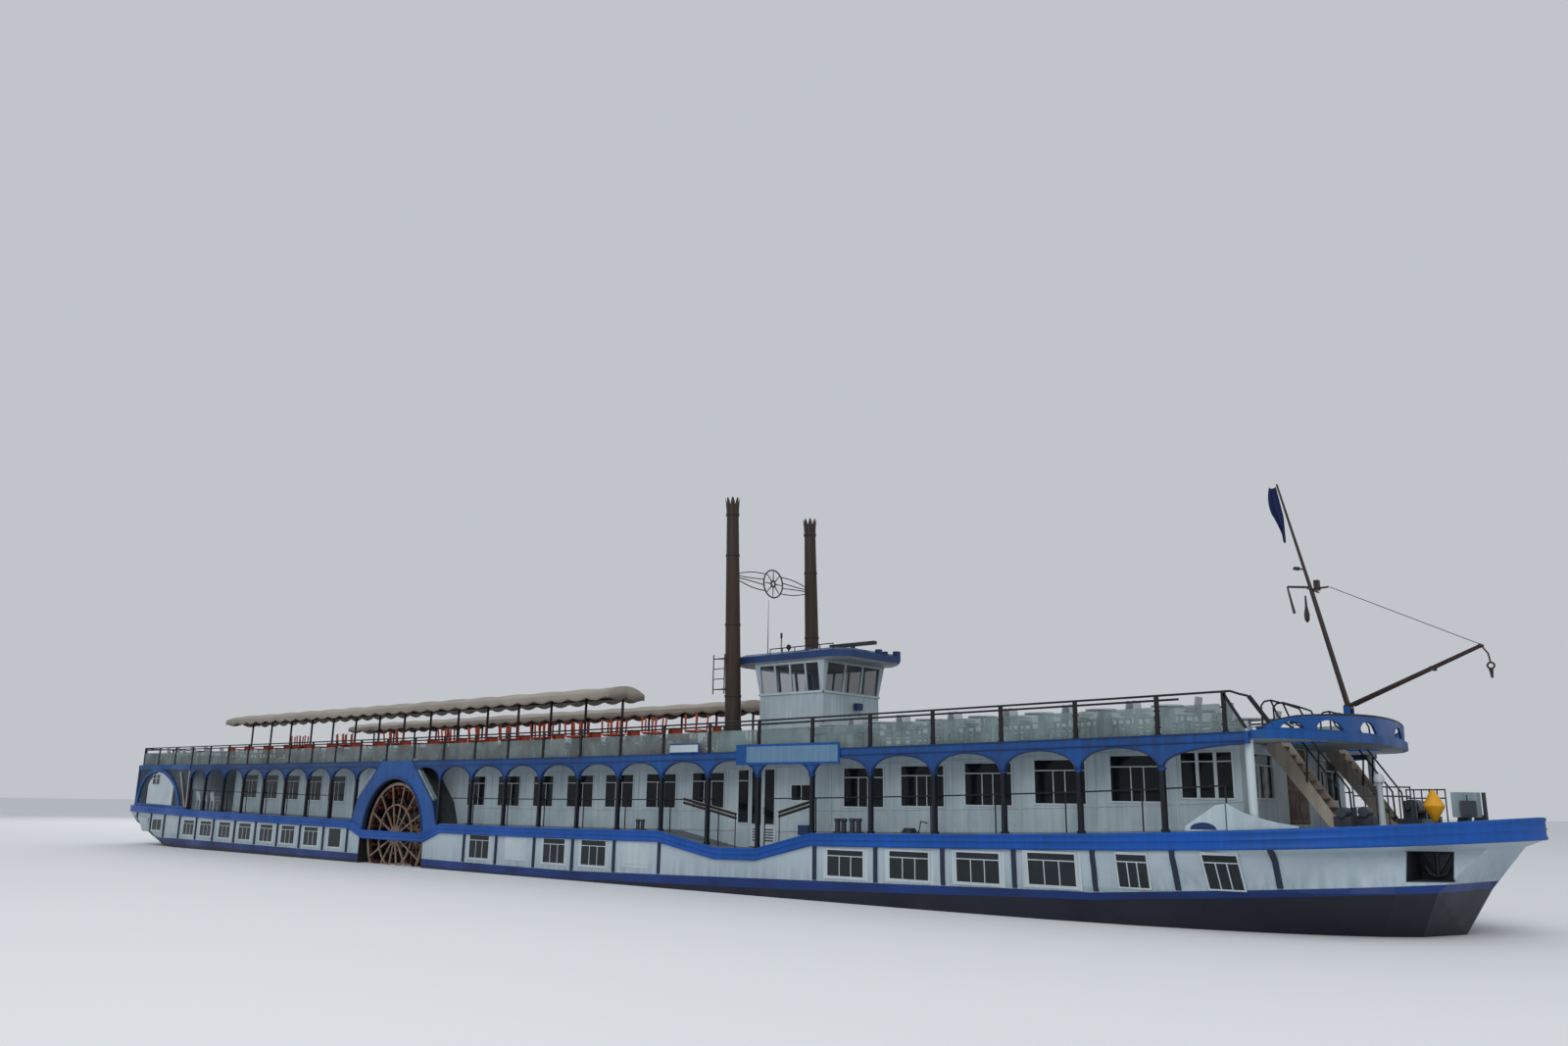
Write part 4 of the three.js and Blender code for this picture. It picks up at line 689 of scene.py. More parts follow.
def makeHullRibs():
    ribs = Shape()
    half, proud = hullTrim["ribHalf"], hullTrim["ribProud"]
    section = ((-half, -0.02), (-half, proud * 0.7), (-half * 0.6, proud), (half * 0.6, proud),
               (half, proud * 0.7), (half, -0.02))
    for x in map(postX, hullTrim["ribs"]):
        heights = along(stripeTop(x) + 0.01, beltBottom(x) + 0.01, 0.12)
        ribs.loft([[(x + u, hullSide(x, z) - out, z) for u, out in section] for z in heights])
    finishShape(ribs.mirrored(), "hullRibs", "navy", smooth=40)


# Windows on a wall that faces the side: frame, upright bars and transom round a dark pane
class Window:
    def __init__(self, wall=lambda x, z: -ship["wall"]):
        self.frames, self.panes, self.curtains = Shape(), Shape(), Shape()
        self.wall = wall

    def strip(self, shape, x, u0, u1, z0, z1, inner, outer):
        corners = ((z0, inner), (z1, inner), (z1, outer), (z0, outer))
        shape.loft([[(x + u, self.wall(x + u, z) - out, z) for z, out in corners] for u in (u0, u1)])

    def add(self, x, width, sill, head, bars=(), transom=0.78, edge=0.03, proud=0.012, cloth=False):
        half, bar = width / 2, 0.0065
        self.strip(self.panes, x, -half, half, sill, head, -0.006, 0.003)
        line = sill + (head - sill) * transom
        rows = [(-half - edge, half + edge, sill - edge, sill, -0.006, proud),
                (-half - edge, half + edge, head, head + edge * 0.7, -0.006, proud),
                (-half - edge, -half, sill, head, -0.006, proud),
                (half, half + edge, sill, head, -0.006, proud)]
        if transom < 1:
            rows.append((-half, half, line - bar, line + bar, -0.002, proud * 0.8))
        rows += [(spot - bar, spot + bar, sill, min(line, head), -0.002, proud * 0.8) for spot in bars]
        for row in rows:
            self.strip(self.frames, x, *row)
        if cloth:
            for u0, u1 in ((-half + 0.01, -half * 0.4), (half * 0.4, half - 0.01)):
                self.hang(x, u0, u1, sill - 0.02, head + 0.02)

    # A pleated curtain that hangs behind the pane, gathered towards its foot
    def hang(self, x, u0, u1, foot, head):
        rows = []
        hem = u0 if abs(u0) > abs(u1) else u1
        for share in (0, 0.3, 0.6, 1):
            gather = 0.25 * (1 - abs(2 * share - 0.7) / 1.4) if share < 1 else 0
            row = []
            for k in range(13):
                u = u0 + (u1 - u0) * k / 12
                u += (hem - u) * gather
                depth = 0.05 + 0.011 * math.cos(math.pi * k)
                row.append((x + u, self.wall(x + u, foot) + depth, foot + (head - foot) * share))
            rows.append(row)
        self.curtains.loft(rows, closed=False)


def makeHullWindows():
    trim = hullTrim
    made = Window()
    for number, width, sill, head, spread in trim["windows"]:
        x = postX(number)
        board, edge = trim["narrow"] if width < 0.45 else trim["wide"]
        reach, foot = width / 2 + board, sill - board * 0.6
        made.wall = hullPlane(x - reach, x + reach, foot, head + 0.03)
        made.strip(made.frames, x, -reach, reach, foot, head + 0.03, -0.01, 0.002)
        bars = (-spread, spread) if spread else () if spread is None else (0.0,)
        made.add(x, width, sill, head, bars, 0.78 if spread else 1, edge)
    for number, width, sill, head in trim["boards"]:
        x, half = postX(number), width / 2
        made.wall = hullPlane(x - half, x + half, sill, head)
        made.strip(made.frames, x, -half, half, sill, head, -0.01, 0.004)
        made.strip(made.frames, x, 0.05 - half, half - 0.05, sill + 0.05, head - 0.05, -0.01, 0.010)
    finishShape(made.frames.mirrored(), "hullWindowFrames", "frameWhite", bevel=0.003)
    finishShape(made.panes.mirrored(), "hullWindowPanes", "glass")


makeHullRibs()
makeHullWindows()

# Belt: a rounded timber strake with two mouldings, all the way round the deck edge. Columns: how far out
# from the deck edge, and the height as a share of the belt's depth
beltProfile = [(-0.02, 0.0), (0.030, 0.0), (0.042, 0.05), (0.045, 0.12), (0.033, 0.20), (0.033, 0.44),
               (0.045, 0.50), (0.033, 0.56), (0.033, 0.80), (0.045, 0.88), (0.042, 0.95), (0.030, 1.0),
               (-0.02, 1.0)]


def makeBelt():
    edge, bow = ship["halfLength"], ship["bowStart"]
    quarter = math.pi / 2
    xs = [-edge + ship["sternLength"] * (1 - math.cos(quarter * k / 12)) for k in range(13)]
    xs += sorted(set(along(-15.6, bow, 0.4) + [corner for dip in dips for corner in dip[:4]]))
    xs += [bow + ship["bowLength"] * math.sin(quarter * k / 18) for k in range(1, 19)]
    path = [(-edge, 0.0), (-edge, -0.35)] + [(x, -deckHalf(x)) for x in xs] + [(edge, 0.0)]
    rings = []
    for (x, y), way in withWays(path):
        bottom, top = beltBottom(x), edgeAt(x)
        rings.append([(x + way.y * out, y - way.x * out, bottom + (top - bottom) * share)
                      for out, share in beltProfile])
    piece = finishShape(Shape().loft(rings).mirrored(), "rubbingStrake", "belt", smooth=50)
    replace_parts(piece, "belt_starboard", "belt_port")


makeBelt()
print("hull dressed")

# Gallery: posts with arches between them, from the after house to the front column. Each run has its posts
# in bays, and a slanted start or end beside the paddle box: the lower and the upper corner, as X and Z
galleryTrim = {
    "outer": 2.246, "inner": 2.19, "half": 0.028, "spring": 0.36, "crown": 0.125, "rim": 0.011, "rail": 0.48,
    "reach": 14.498, "aftPost": -12.5,
    "runs": {"aft": (range(-1, 6), None, ((-3.46, 1.845), (-3.30, 2.026))),
             "fore": (range(9, 24), ((-1.995, 1.838), (-2.205, 2.026)), None)},
    "rails": ((-12.44, postX(5)), (postX(9), 6.35), (7.30, postX(24) - 0.35)),
}


# The underside of an arch between two places, or of a half arch that rises to the second
def archBay(x0, x1, whole=True):
    trim = galleryTrim
    spring, rise = upperAt((x0 + x1) / 2) - trim["spring"], trim["spring"] - trim["crown"]
    points = []
    for k in range(17):
        turn = math.pi * (1 - k / (16 if whole else 32))
        share = (math.cos(turn) + 1) / (2 if whole else 1)
        points.append((x0 + (x1 - x0) * share, spring + rise * math.sin(turn)))
    return points


def makeGalleryFrames(part, side, name):
    trim = galleryTrim
    posts, start, end = trim["runs"][part]
    half, inner, outer = trim["half"], trim["inner"], trim["outer"]
    places = [postX(number) for number in posts]
    aftPost, lastPost = trim["aftPost"], postX(24) + 2 * half
    under = []
    if part == "aft":
        middles = [aftPost + half, *places, postX(6), postX(7)]
        under += [(x, upperAt(aftPost) - trim["spring"]) for x in (aftPost, aftPost + 2 * half)]
    else:
        middles = [postX(8), *places, lastPost]
    for x0, x1 in zip(middles, middles[1:]):
        under += archBay(x0 + half, x1 - half, x1 != lastPost)
    if start:
        under = [start[0]] + [spot for spot in under if spot[0] > start[0][0] + 0.01]
    if end:
        under = [spot for spot in under if spot[0] < end[0][0] - 0.01] + [end[0]]
    tops = [(x, upperAt(x) - 0.001) for x, _ in under]
    if start:
        tops[0] = start[1]
    if end:
        tops[-1] = end[1]
    rings = []
    for (x, z), (topX, topZ) in zip(under, tops):
        x, topX = min(x, trim["reach"]), min(topX, trim["reach"])
        rings.append([(x, -outer, z), (topX, -outer, topZ), (topX, -inner, topZ), (x, -inner, z)])
    shape = Shape().loft(rings)
    # Posts with a foot plate and a small capital, the aft ones that the box cuts standing on its slope
    rows = [(x, edgeAt(x)) for x in places]
    if part == "aft":
        rows += [(aftPost + 0.03, edgeAt(aftPost)), (postX(6), 0.93)]
    for x, foot in rows:
        head = upperAt(x) - trim["spring"]
        for wide, out, back, low, high in (
            (0, 0, 0, foot - 0.004, head + 0.01), (0.014, 0.002, 0.004, foot + 0.001, foot + 0.03),
            (0.010, 0.004, 0.004, head - 0.028, head - 0.004),
        ):
            shape.box((x - half - wide, -outer - out, low), (x + half + wide, -inner + back, high))
    title = "gallery" + part.title() + name.title()
    piece = finishShape(shape.onSide(side), title, "gallery", smooth=35)
    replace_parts(piece, "gallery_" + part + "_" + name)
    return [[(x, side * (outer + 0.004), z - 0.004) for x, z in under if 1.4 < z and x < 14.49]]


def makeGallery():
    rims, mouldings, rails = [], [], []
    for side, name in sides:
        rims += makeGalleryFrames("aft", side, name) + makeGalleryFrames("fore", side, name)
        for start, end in ((-12.45, -3.36), (-2.14, 14.45)):
            for drop in (0.012, 0.105):
                y = side * (ship["gallery"] + 0.001)
                mouldings.append([(x, y, upperAt(x) - drop) for x in along(start, end, 0.8)])
        y, rail = side * (galleryTrim["inner"] - 0.025), galleryTrim["rail"]
        for start, end in galleryTrim["rails"]:
            rails.append([(x, y, deckAt(x) + rail) for x in along(start, end, 0.5)])
            for x in along(start, end, ship["bay"]):
                rails.append([(x, y, edgeAt(x) + 0.01), (x, y, deckAt(x) + rail)])
    barsAlong(rims, "archRims", galleryTrim["rim"], "arch")
    barsAlong(mouldings, "fasciaMouldings", 0.007, "arch", sides=5)
    barsAlong(rails, "galleryHandrails", 0.010, "black")


makeGallery()
print("gallery made")

# Saloon windows: place in bays, width, sill and head above the deck, as the walls are cut
saloonTrim = {
    "windows": [(number, 0.70, 0.36, 0.89) for number in
                (0.4, 1.4, 2.4, 3.4, 4.4, 12.5, 13.5, 14.5, 15.55, 18.53, 19.5, 20.5, 21.5, 22.5)]
    + [(9.5, 0.56, 0.36, 0.89), (10.5, 0.66, 0.36, 0.89), (11.5, 0.56, 0.36, 0.89),
       (17.42, 0.385, 0.46, 0.675)],
    "doors": (("aft", 6.62, 6.878), ("fore", 6.884, 7.142)), "sideLight": (6.35, 6.592, 1.01, 1.79),
    "screen": (13.48, 14.12, 0.37, 0.88), "curtainWidth": 0.30, "curtainLength": 0.57,
}


def makeSaloonWindows():
    made = Window()
    trim = saloonTrim
    for number, width, sill, head in trim["windows"]:
        x = postX(number)
        small, floor = head - sill < 0.3, deckAt(x)
        bars, transom = ((0.0,), 1) if small else ((-0.09, 0.075), 0.76)
        made.add(x, width, floor + sill, floor + head, bars, transom, 0.022, cloth=not small)
    start, end, sill, head = trim["screen"]
    floor, width = deckAt((start + end) / 2), (end - start) / 3
    for k in range(3):
        made.add(start + width * (k + 0.5), width - 0.04, floor + sill, floor + head, (), 0.80, 0.02)
    x0, x1, low, high = trim["sideLight"]
    made.add((x0 + x1) / 2, x1 - x0 - 0.03, low, high, (), 0.8, 0.015)
    # Seams, a plinth and a cornice on the walls
    lines = Shape()
    for start, end in ((-11.0, -4.45), (-1.0, 6.3), (7.16, 14.19)):
        for low, high, out in ((0.012, 0.06, 0.010), (0.305, 0.325, 0.008), (0.93, 0.95, 0.008)):
            section = ((-0.01, low), (out, low), (out, high), (-0.01, high))
            lines.loft([[(x, -1.751 - depth, deckAt(x) + z) for depth, z in section]
                        for x in along(start, end, 0.8)])
    for number in (*range(0, 6), *range(10, 24)):
        x = postX(number) - 0.05
        if -11 < x < 14.1 and not 6.2 < x < 7.3:
            lines.box((x - 0.02, -1.758, edgeAt(x) + 0.02), (x + 0.02, -1.745, deckAt(x) + 0.95))
    finishShape(made.frames.mirrored(), "saloonWindowFrames", "frameWhite", bevel=0.003)
    finishShape(lines.mirrored(), "saloonMouldings", "white", bevel=0.003)
    finishShape(made.panes.mirrored(), "saloonWindowPanes", "glass")
    curtains = finishShape(made.curtains.mirrored(), "saloonCurtains", "curtain", smooth=60)


makeSaloonWindows()
print("saloon dressed")

# Paddle box: a dark rim round the opening, planks on its slopes painted pale as a painted highlight, and a
# row of rivets
boxTrim = {"radius": 1.113, "rim": 0.026, "rivets": 29,
           "slope": ((1.64, 0.665), (1.39, 1.235), (0.545, 2.024))}


def makeBoxTrim():
    trim = boxTrim
    middle = (ship["wheelX"], ship["wheelZ"])
    dark, highlightPlanks = Shape(), Shape()
    dark.band(middle, trim["radius"] - 0.012, trim["radius"] + trim["rim"], -2.262, -2.185, 5, 175, 60)
    for way in (-1, 1):
        spots = [Vector((middle[0] + way * reach, -2.2, z)) for reach, z in trim["slope"]]
        for start, end in zip(spots, spots[1:]):
            out = Vector(((end - start).z, 0, -(end - start).x)).normalized() * way
            dark.bar(start + out * 0.012, end + out * 0.012, 0.10, 0.024)
            if start.z > 1:
                # The planks' pale paint is a painted highlight along the upper slopes
                highlightPlanks.bar(start + out * 0.055, end + out * 0.055 - (end - start) * 0.03, 0.08, 0.062)
    rivets = []
    for k in range(trim["rivets"]):
        turn = math.radians(8 + 164 * k / (trim["rivets"] - 1))
        reach = trim["radius"] + 0.06
        spot = (middle[0] + reach * math.cos(turn), middle[1] + reach * math.sin(turn))
        rivets += [((spot[0], side * 2.2495, spot[1]), (90 * -side, 0, 0), (1, 1, 1)) for side, _ in sides]
    head = Shape().turned((0, 0, 0), [(0.014, 0), (0.012, 0.005), (0.005, 0.009)], 8)
    placeMany(head, "boxRivets", rivets, "fascia", smooth=60)
    finishShape(dark.mirrored(), "boxArchRims", "arch", smooth=40)
    finishShape(highlightPlanks.mirrored(), "boxSlopePlanks", "panel", bevel=0.004)


# Paddle wheels: two spoked frames with rings, and curved floats on brackets between them
wheelTrim = {"rim": 1.035, "rimWidth": 0.05, "ring": 0.615, "ringWidth": 0.03, "frames": (1.674, 2.146),
             "frameHalf": 0.013, "spokes": 14, "spokeWidth": 0.030, "hub": 0.20, "tie": 0.60, "shaft": 0.07,
             "floats": (0.80, 1.045), "floatEnds": (1.667, 2.153), "bend": 0.022, "floatHalf": 0.009,
             "brackets": (1.70, 2.12)}


def makeWheel(side, name):
    trim = wheelTrim
    cx, cz = ship["wheelX"], ship["wheelZ"]
    step = math.tau / trim["spokes"]

    def at(radius, turn, y):
        return Vector((cx + radius * math.cos(turn), -y, cz + radius * math.sin(turn)))

    pale, red = Shape(), Shape()
    for y in trim["frames"]:
        near, far = -(y - trim["frameHalf"]), -(y + trim["frameHalf"])
        for inner, outer, low, high, count in (
            (trim["rim"] - trim["rimWidth"], trim["rim"], near, far, 56),
            (trim["ring"] - trim["ringWidth"], trim["ring"], near, far, 56),
            (0.075, trim["hub"], near - 0.002, far + 0.002, 28),
            (0.072, 0.115, -(y - 0.03), -(y + 0.024), 28),
        ):
            pale.band((cx, cz), inner, outer, low, high, count=count)
        for k in range(trim["spokes"]):
            turn = k * step
            pale.bar(at(0.17, turn, y), at(trim["rim"] - 0.03, turn, y), 0.022, trim["spokeWidth"])
            red.rod([at(0.18, turn + 0.12, y - 0.017), at(0.18, turn + 0.12, y + 0.017)], 0.012)
    for k in range(trim["spokes"]):
        spoke, middle = k * step, (k + 0.5) * step
        red.rod([at(trim["tie"], spoke, y) for y in trim["frames"]], 0.011)
        for y in (trim["frames"][0] - 0.016, trim["frames"][1] + 0.014):
            pale.rod([at(trim["tie"], spoke, y - 0.008), at(trim["tie"], spoke, y + 0.008)], 0.034, 12)
        rows = []
        for j in range(7):
            radius = trim["floats"][0] + (trim["floats"][1] - trim["floats"][0]) * j / 6
            turn = middle + trim["bend"] * (0.5 - (j / 3 - 1) ** 2) / radius
            half = trim["floatHalf"] / radius
            y0, y1 = trim["floatEnds"]
            corners = ((-1, y0), (-1, y1), (1, y1), (1, y0))
            rows.append([at(radius, turn + way * half, y) for way, y in corners])
        red.loft(rows)
        for y in trim["brackets"]:
            red.bar(at(0.93, spoke + 0.02, y), at(0.94, middle - 0.02, y), 0.014, 0.03)
            red.bar(at(0.93, spoke + step - 0.02, y), at(0.94, middle + 0.02, y), 0.014, 0.03)
    for near, far, radius in ((-1.487, -2.168, trim["shaft"]), (-1.72, -1.78, 0.10), (-2.04, -2.10, 0.10)):
        red.rod([(cx, near, cz), (cx, far, cz)], radius, 28)
    body = "wheel_" + name
    finishShape(pale.onSide(side), "wheelFrames" + name.title(), "spokes", body, smooth=40)
    piece = finishShape(red.onSide(side), "wheelFloats" + name.title(), "wheelRed", body, smooth=40)
    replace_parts(piece, "paddle_wheel_" + name)


makeBoxTrim()
for side, name in sides:
    makeWheel(side, name)
print("wheels made")

# Sun deck rail: posts, a thin top rail and pale panels with rounded corners
railTrim = {"height": 0.45, "panelTop": 0.32, "post": 0.026, "middle": 2.165, "start": -15.785, "end": 14.22,
            "topRadius": 0.013, "corner": 0.03, "gap": 0.012}


def panelOutline(x0, x1, top):
    far = railTrim["corner"]
    near = far * 0.3
    rows = ((x0, 0.004), (x1, 0.004), (x1, top - far), (x1 - near, top - near), (x1 - far, top),
            (x0 + far, top), (x0 + near, top - near), (x0, top - far))
    return [(x, upperAt(x) + z) for x, z in rows]


def makeRails():
    trim = railTrim
    posts, panels = Shape(), Shape()
    y, half = -trim["middle"], trim["post"]
    places = [trim["start"] + half] + [postX(number) - 0.05 for number in range(-4, 24)] + [trim["end"]]
    for x in places:
        foot = upperAt(x) + 0.003
        posts.box((x - half, y - 0.014, foot), (x + half, y + 0.014, upperAt(x) + trim["height"]),
                  (x - half - 0.012, y - 0.015, foot), (x + half + 0.012, y + 0.015, foot + 0.016))
    for start, end in zip(places, places[1:]):
        outline = panelOutline(start + half + trim["gap"], end - half - trim["gap"], trim["panelTop"])
        panels.plate(y - 0.005, outline, 0.010)
        for x in (start + half, end - half):
            for z in (upperAt(x) + 0.08, upperAt(x) + 0.27):
                posts.box((x - 0.016, y - 0.004, z), (x + 0.016, y + 0.004, z + 0.02))
    # The forward end: a brace, a slanted panel and a thick bar on the bowed edge
    end = [(14.24, upperAt(14.24) + 0.004), (14.455, upperAt(14.4) + 0.004), (14.26, 2.50), (14.24, 2.50)]
    panels.plate(y - 0.005, end, 0.010)
    posts.bar((14.22, y, 2.57), (14.45, y, 2.18), 0.028, 0.03)
    posts.bar((14.49, -2.13, 2.53), (14.70, -2.085, 2.205), 0.03, 0.045)
    finishShape(posts.mirrored(), "railPosts", "black", bevel=0.003)
    finishShape(panels.mirrored(), "railPanels", "railGlass", bevel=0.002)
    tops = []
    for side, _ in sides:
        y = side * trim["middle"]
        line = [(x, y, upperAt(x) + trim["height"]) for x in along(trim["start"], 14.3, 0.6)]
        tops.append(line + [(14.40, side * 2.16, 2.555), (14.49, side * 2.13, 2.53)])
        tops.append([(x, y, z - 0.055) for x, _, z in line if x < 14.2])
    rail = barsAlong(tops, "railTops", trim["topRadius"], "black", sides=8)
    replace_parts(rail, "rail_starboard", "rail_port")


makeRails()

# The bowed front of the sun deck: a blue fascia, and a parapet with arched openings. Line: the parapet's
# top, as X and Z. Openings: turn from the middle in degrees, half width and height
frontTrim = {"middle": 14.5, "deck": (0.795, 2.1895), "wall": (0.775, 2.18), "thick": 0.028, "foot": 2.1595,
             "sill": 0.025,
             "line": ((14.5, 2.17), (14.64, 2.19), (14.72, 2.25), (14.9, 2.31), (15.09, 2.345),
                      (15.275, 2.388)),
             "openings": ((15.5, 0.215, 0.13), (40, 0.235, 0.105), (61.5, 0.14, 0.07))}


def makeFront():
    trim = frontTrim
    xs, zs = zip(*trim["line"])
    turns = np.radians(np.linspace(-85, 85, 171))
    wall = trim["wall"]

    def ring(turn, size, out, low, high, thick):
        across = Vector((math.cos(turn) / size[0], math.sin(turn) / size[1], 0)).normalized()
        spot = Vector((trim["middle"] + size[0] * math.cos(turn), size[1] * math.sin(turn), 0)) + across * out
        inner = spot - across * thick
        return [(p.x, p.y, z) for p, z in ((spot, low), (spot, high), (inner, high), (inner, low))]

    fascia = Shape().loft([ring(turn, trim["deck"], 0.012, upperAt(15) - 0.088, upperAt(15) + 0.006, 0.03)
                           for turn in np.radians(np.linspace(-90, 90, 91))])
    finishShape(fascia, "frontFascia", "fascia", smooth=30)
    spots = [(wall[0] * math.cos(turn), wall[1] * math.sin(turn)) for turn in turns]
    lengths = np.concatenate([[0], np.cumsum([math.dist(a, b) for a, b in zip(spots, spots[1:])])])

    def opening(index):
        best = 0.0
        for turn, half, height in trim["openings"]:
            for way in (-1, 1):
                away = (lengths[index] - np.interp(math.radians(turn * way), turns, lengths)) / half
                best = max(best, height * math.sqrt(max(1 - away ** 2, 0)))
        return best

    low = trim["foot"] + trim["sill"]
    top, caps = [], []
    for index, turn in enumerate(turns):
        x = trim["middle"] + spots[index][0]
        height = float(np.interp(x, xs, zs))
        top.append(ring(turn, wall, 0, min(low + opening(index), height - 0.02), height, trim["thick"]))
        caps.append((x - 0.012, spots[index][1] * 0.994, height))
    foot = [ring(turn, wall, 0, trim["foot"], low, trim["thick"]) for turn in turns]
    parapet = Shape().loft(foot).loft(top)
    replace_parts(finishShape(parapet, "frontParapet", "fascia", smooth=30), "front_parapet")
    barsAlong([caps], "parapetCap", 0.016, "black", sides=8)


makeFront()

# Handrails of the foredeck stairs, as X and Z
stairTrim = {
    "places": (0.81, 1.19), "radius": 0.011, "paths": (
        ((14.27, 2.14), (14.27, 2.50), (14.31, 2.545), (14.385, 2.555), (14.56, 2.50), (14.70, 2.445),
         (14.737, 2.366), (14.75, 2.17)),
        ((14.385, 2.55), (14.45, 2.376), (14.595, 2.237), (14.75, 2.0), (15.05, 1.55), (15.06, 1.2)),
        ((14.75, 2.0), (14.72, 1.62)),
    ),
}


def makeStairRails():
    trim = stairTrim
    rails = [rail for y, path in product(trim["places"], trim["paths"]) for rail in bothSides(y, path)]
    barsAlong(rails, "stairHandrails", trim["radius"], "black", sides=8)


# The four entrance leaves: sill and head of the pane, feet of the louvres, and the handle as Y and Z
doorTrim = {
    "pane": (0.994, 1.80), "louvres": (0.75, 0.79, 0.83, 0.87, 0.91), "louvre": 0.014, "knob": 0.035,
    "handle": ((-1.748, 1.15), (-1.776, 1.15), (-1.776, 1.23), (-1.748, 1.23)),
}


def makeEntranceDoors():
    trim = doorTrim
    for (side, name), (part, x0, x1) in product(sides, saloonTrim["doors"]):
        made, fittings = Window(), Shape()
        made.add((x0 + x1) / 2, x1 - x0 - 0.06, *trim["pane"], (), 1, 0.012, 0.008)
        for z in trim["louvres"]:
            fittings.box((x0 + 0.05, -1.757, z), (x1 - 0.05, -1.749, z + trim["louvre"]))
        knob = x1 - trim["knob"] if part == "aft" else x0 + trim["knob"]
        fittings.rod([(knob, y, z) for y, z in trim["handle"]], 0.006)
        body, title = "door_" + part + "_" + name, part.title() + name.title()
        finishShape(made.frames.onSide(side), "doorFrame" + title, "frameWhite", body)
        finishShape(made.panes.onSide(side), "doorPane" + title, "glass", body)
        finishShape(fittings.onSide(side), "doorFittings" + title, "black", body)


# The saloon's front and back walls and the after house: which way each faces, its place, the door's half
# width, foot and top, and the windows' inner and outer side, sill and head
endWalls = (
    (1, 14.20, (0.34, 1.15, 2.035), (0.8, 1.5, 1.445, 1.935)),
    (-1, -11.0, (0.29, 0.98, 1.87), (0.7, 1.4, 1.277, 1.767)),
    (-1, -15.9, (0.29, 1.05, 1.95), (0.8, 1.5, 1.368, 1.858)),
)


# A panelled door and two windows in each end wall
def makeEndWalls():
    leaves, marks, frames, panes = Shape(), Shape(), Shape(), Shape()

    def block(shape, x, way, out, back, rows):
        near, far = sorted((x + way * out, x - way * back))
        for y0, y1, z0, z1 in rows:
            shape.box((near, y0, z0), (far, y1, z1))

    for way, x, (half, low, high), (inner, outer, sill, head) in endWalls:
        block(leaves, x, way, -0.006, 0.03, [(-half, half, low, high)])
        block(marks, x, way, -0.001, 0.02, [
            (y0, y1, low + z0, low + z1) for z0, z1 in ((0.06, 0.40), (0.46, 0.84))
            for y0, y1 in ((0.05 - half, -0.03), (0.03, half - 0.05))])
        block(panes, x, way, -0.02, 0.026, [(inner, outer, sill, head)])
        edge, line = 0.025, head - 0.13
        block(frames, x, way, 0.012, 0.004, [
            (inner - edge, outer + edge, sill - edge, sill), (inner - edge, outer + edge, head, head + 0.02),
            (inner - edge, inner, sill, head), (outer, outer + edge, sill, head),
            (inner, outer, line, line + 0.013), (inner + 0.233, inner + 0.247, sill, line),
            (outer - 0.247, outer - 0.233, sill, line)])
    finishShape(frames.mirrored(), "endWindowFrames", "frameWhite", bevel=0.002)
    finishShape(panes.mirrored(), "endWindowPanes", "glass")
    finishShape(leaves, "endDoors", "wood", bevel=0.004)
    finishShape(marks, "endDoorPanels", "tread", bevel=0.006)


# Slanted handrails at the gangway, on the outside of the gallery, each pair on a thin foot at its low end,
# and the blank boards above them. Rails: X and Z. Feet: place and top
gangwayTrim = {
    "place": 2.2, "pair": (0, 0.055), "radius": 0.020, "feet": ((6.74, 1.136), (7.62, 1.178)),
    "rails": (((5.619, 1.348), (6.20, 1.24), (6.75, 1.134)), ((7.61, 1.175), (7.9, 1.25), (8.27, 1.345))),
}


def makeGangway():
    trim = gangwayTrim
    rails = [rail for path in trim["rails"] for rail in bothSides(trim["place"], path)]
    lines = [[(x, y, z - drop) for x, y, z in rail] for rail, drop in product(rails, trim["pair"])]
    feet = [path for x, top in trim["feet"]
            for path in bothSides(trim["place"], ((x, edgeAt(x) - 0.01), (x, top)))]
    edges = [[(x, y, z + 0.022) for x, y, z in path] for path in lines]
    barsAlong(feet, "gangwayRailFeet", 0.008, "black")
    barsAlong(lines, "gangwayHandrails", trim["radius"], "black", sides=8)
    barsAlong(edges, "gangwayRailEdges", 0.005, "beige")
    backs = Shape().box((6.783, -2.266, 1.85), (8.783, -2.25, 2.15))
    backs.box((5.31, -2.266, 2.04), (5.98, -2.25, 2.19))
    boards = Shape().box((7.003, -2.270, 1.885), (8.753, -2.262, 2.115))
    plates = Shape().box((5.33, -2.270, 2.06), (5.96, -2.262, 2.17))
    finishShape(plates.mirrored(), "blankPlates", "frameWhite", bevel=0.002)
    finishShape(backs.mirrored(), "blankBoardBacks", "fascia", bevel=0.003)
    finishShape(boards.mirrored(), "blankBoards", "sign", bevel=0.002)


makeStairRails()
makeEntranceDoors()
makeEndWalls()
makeGangway()
print("decks dressed")

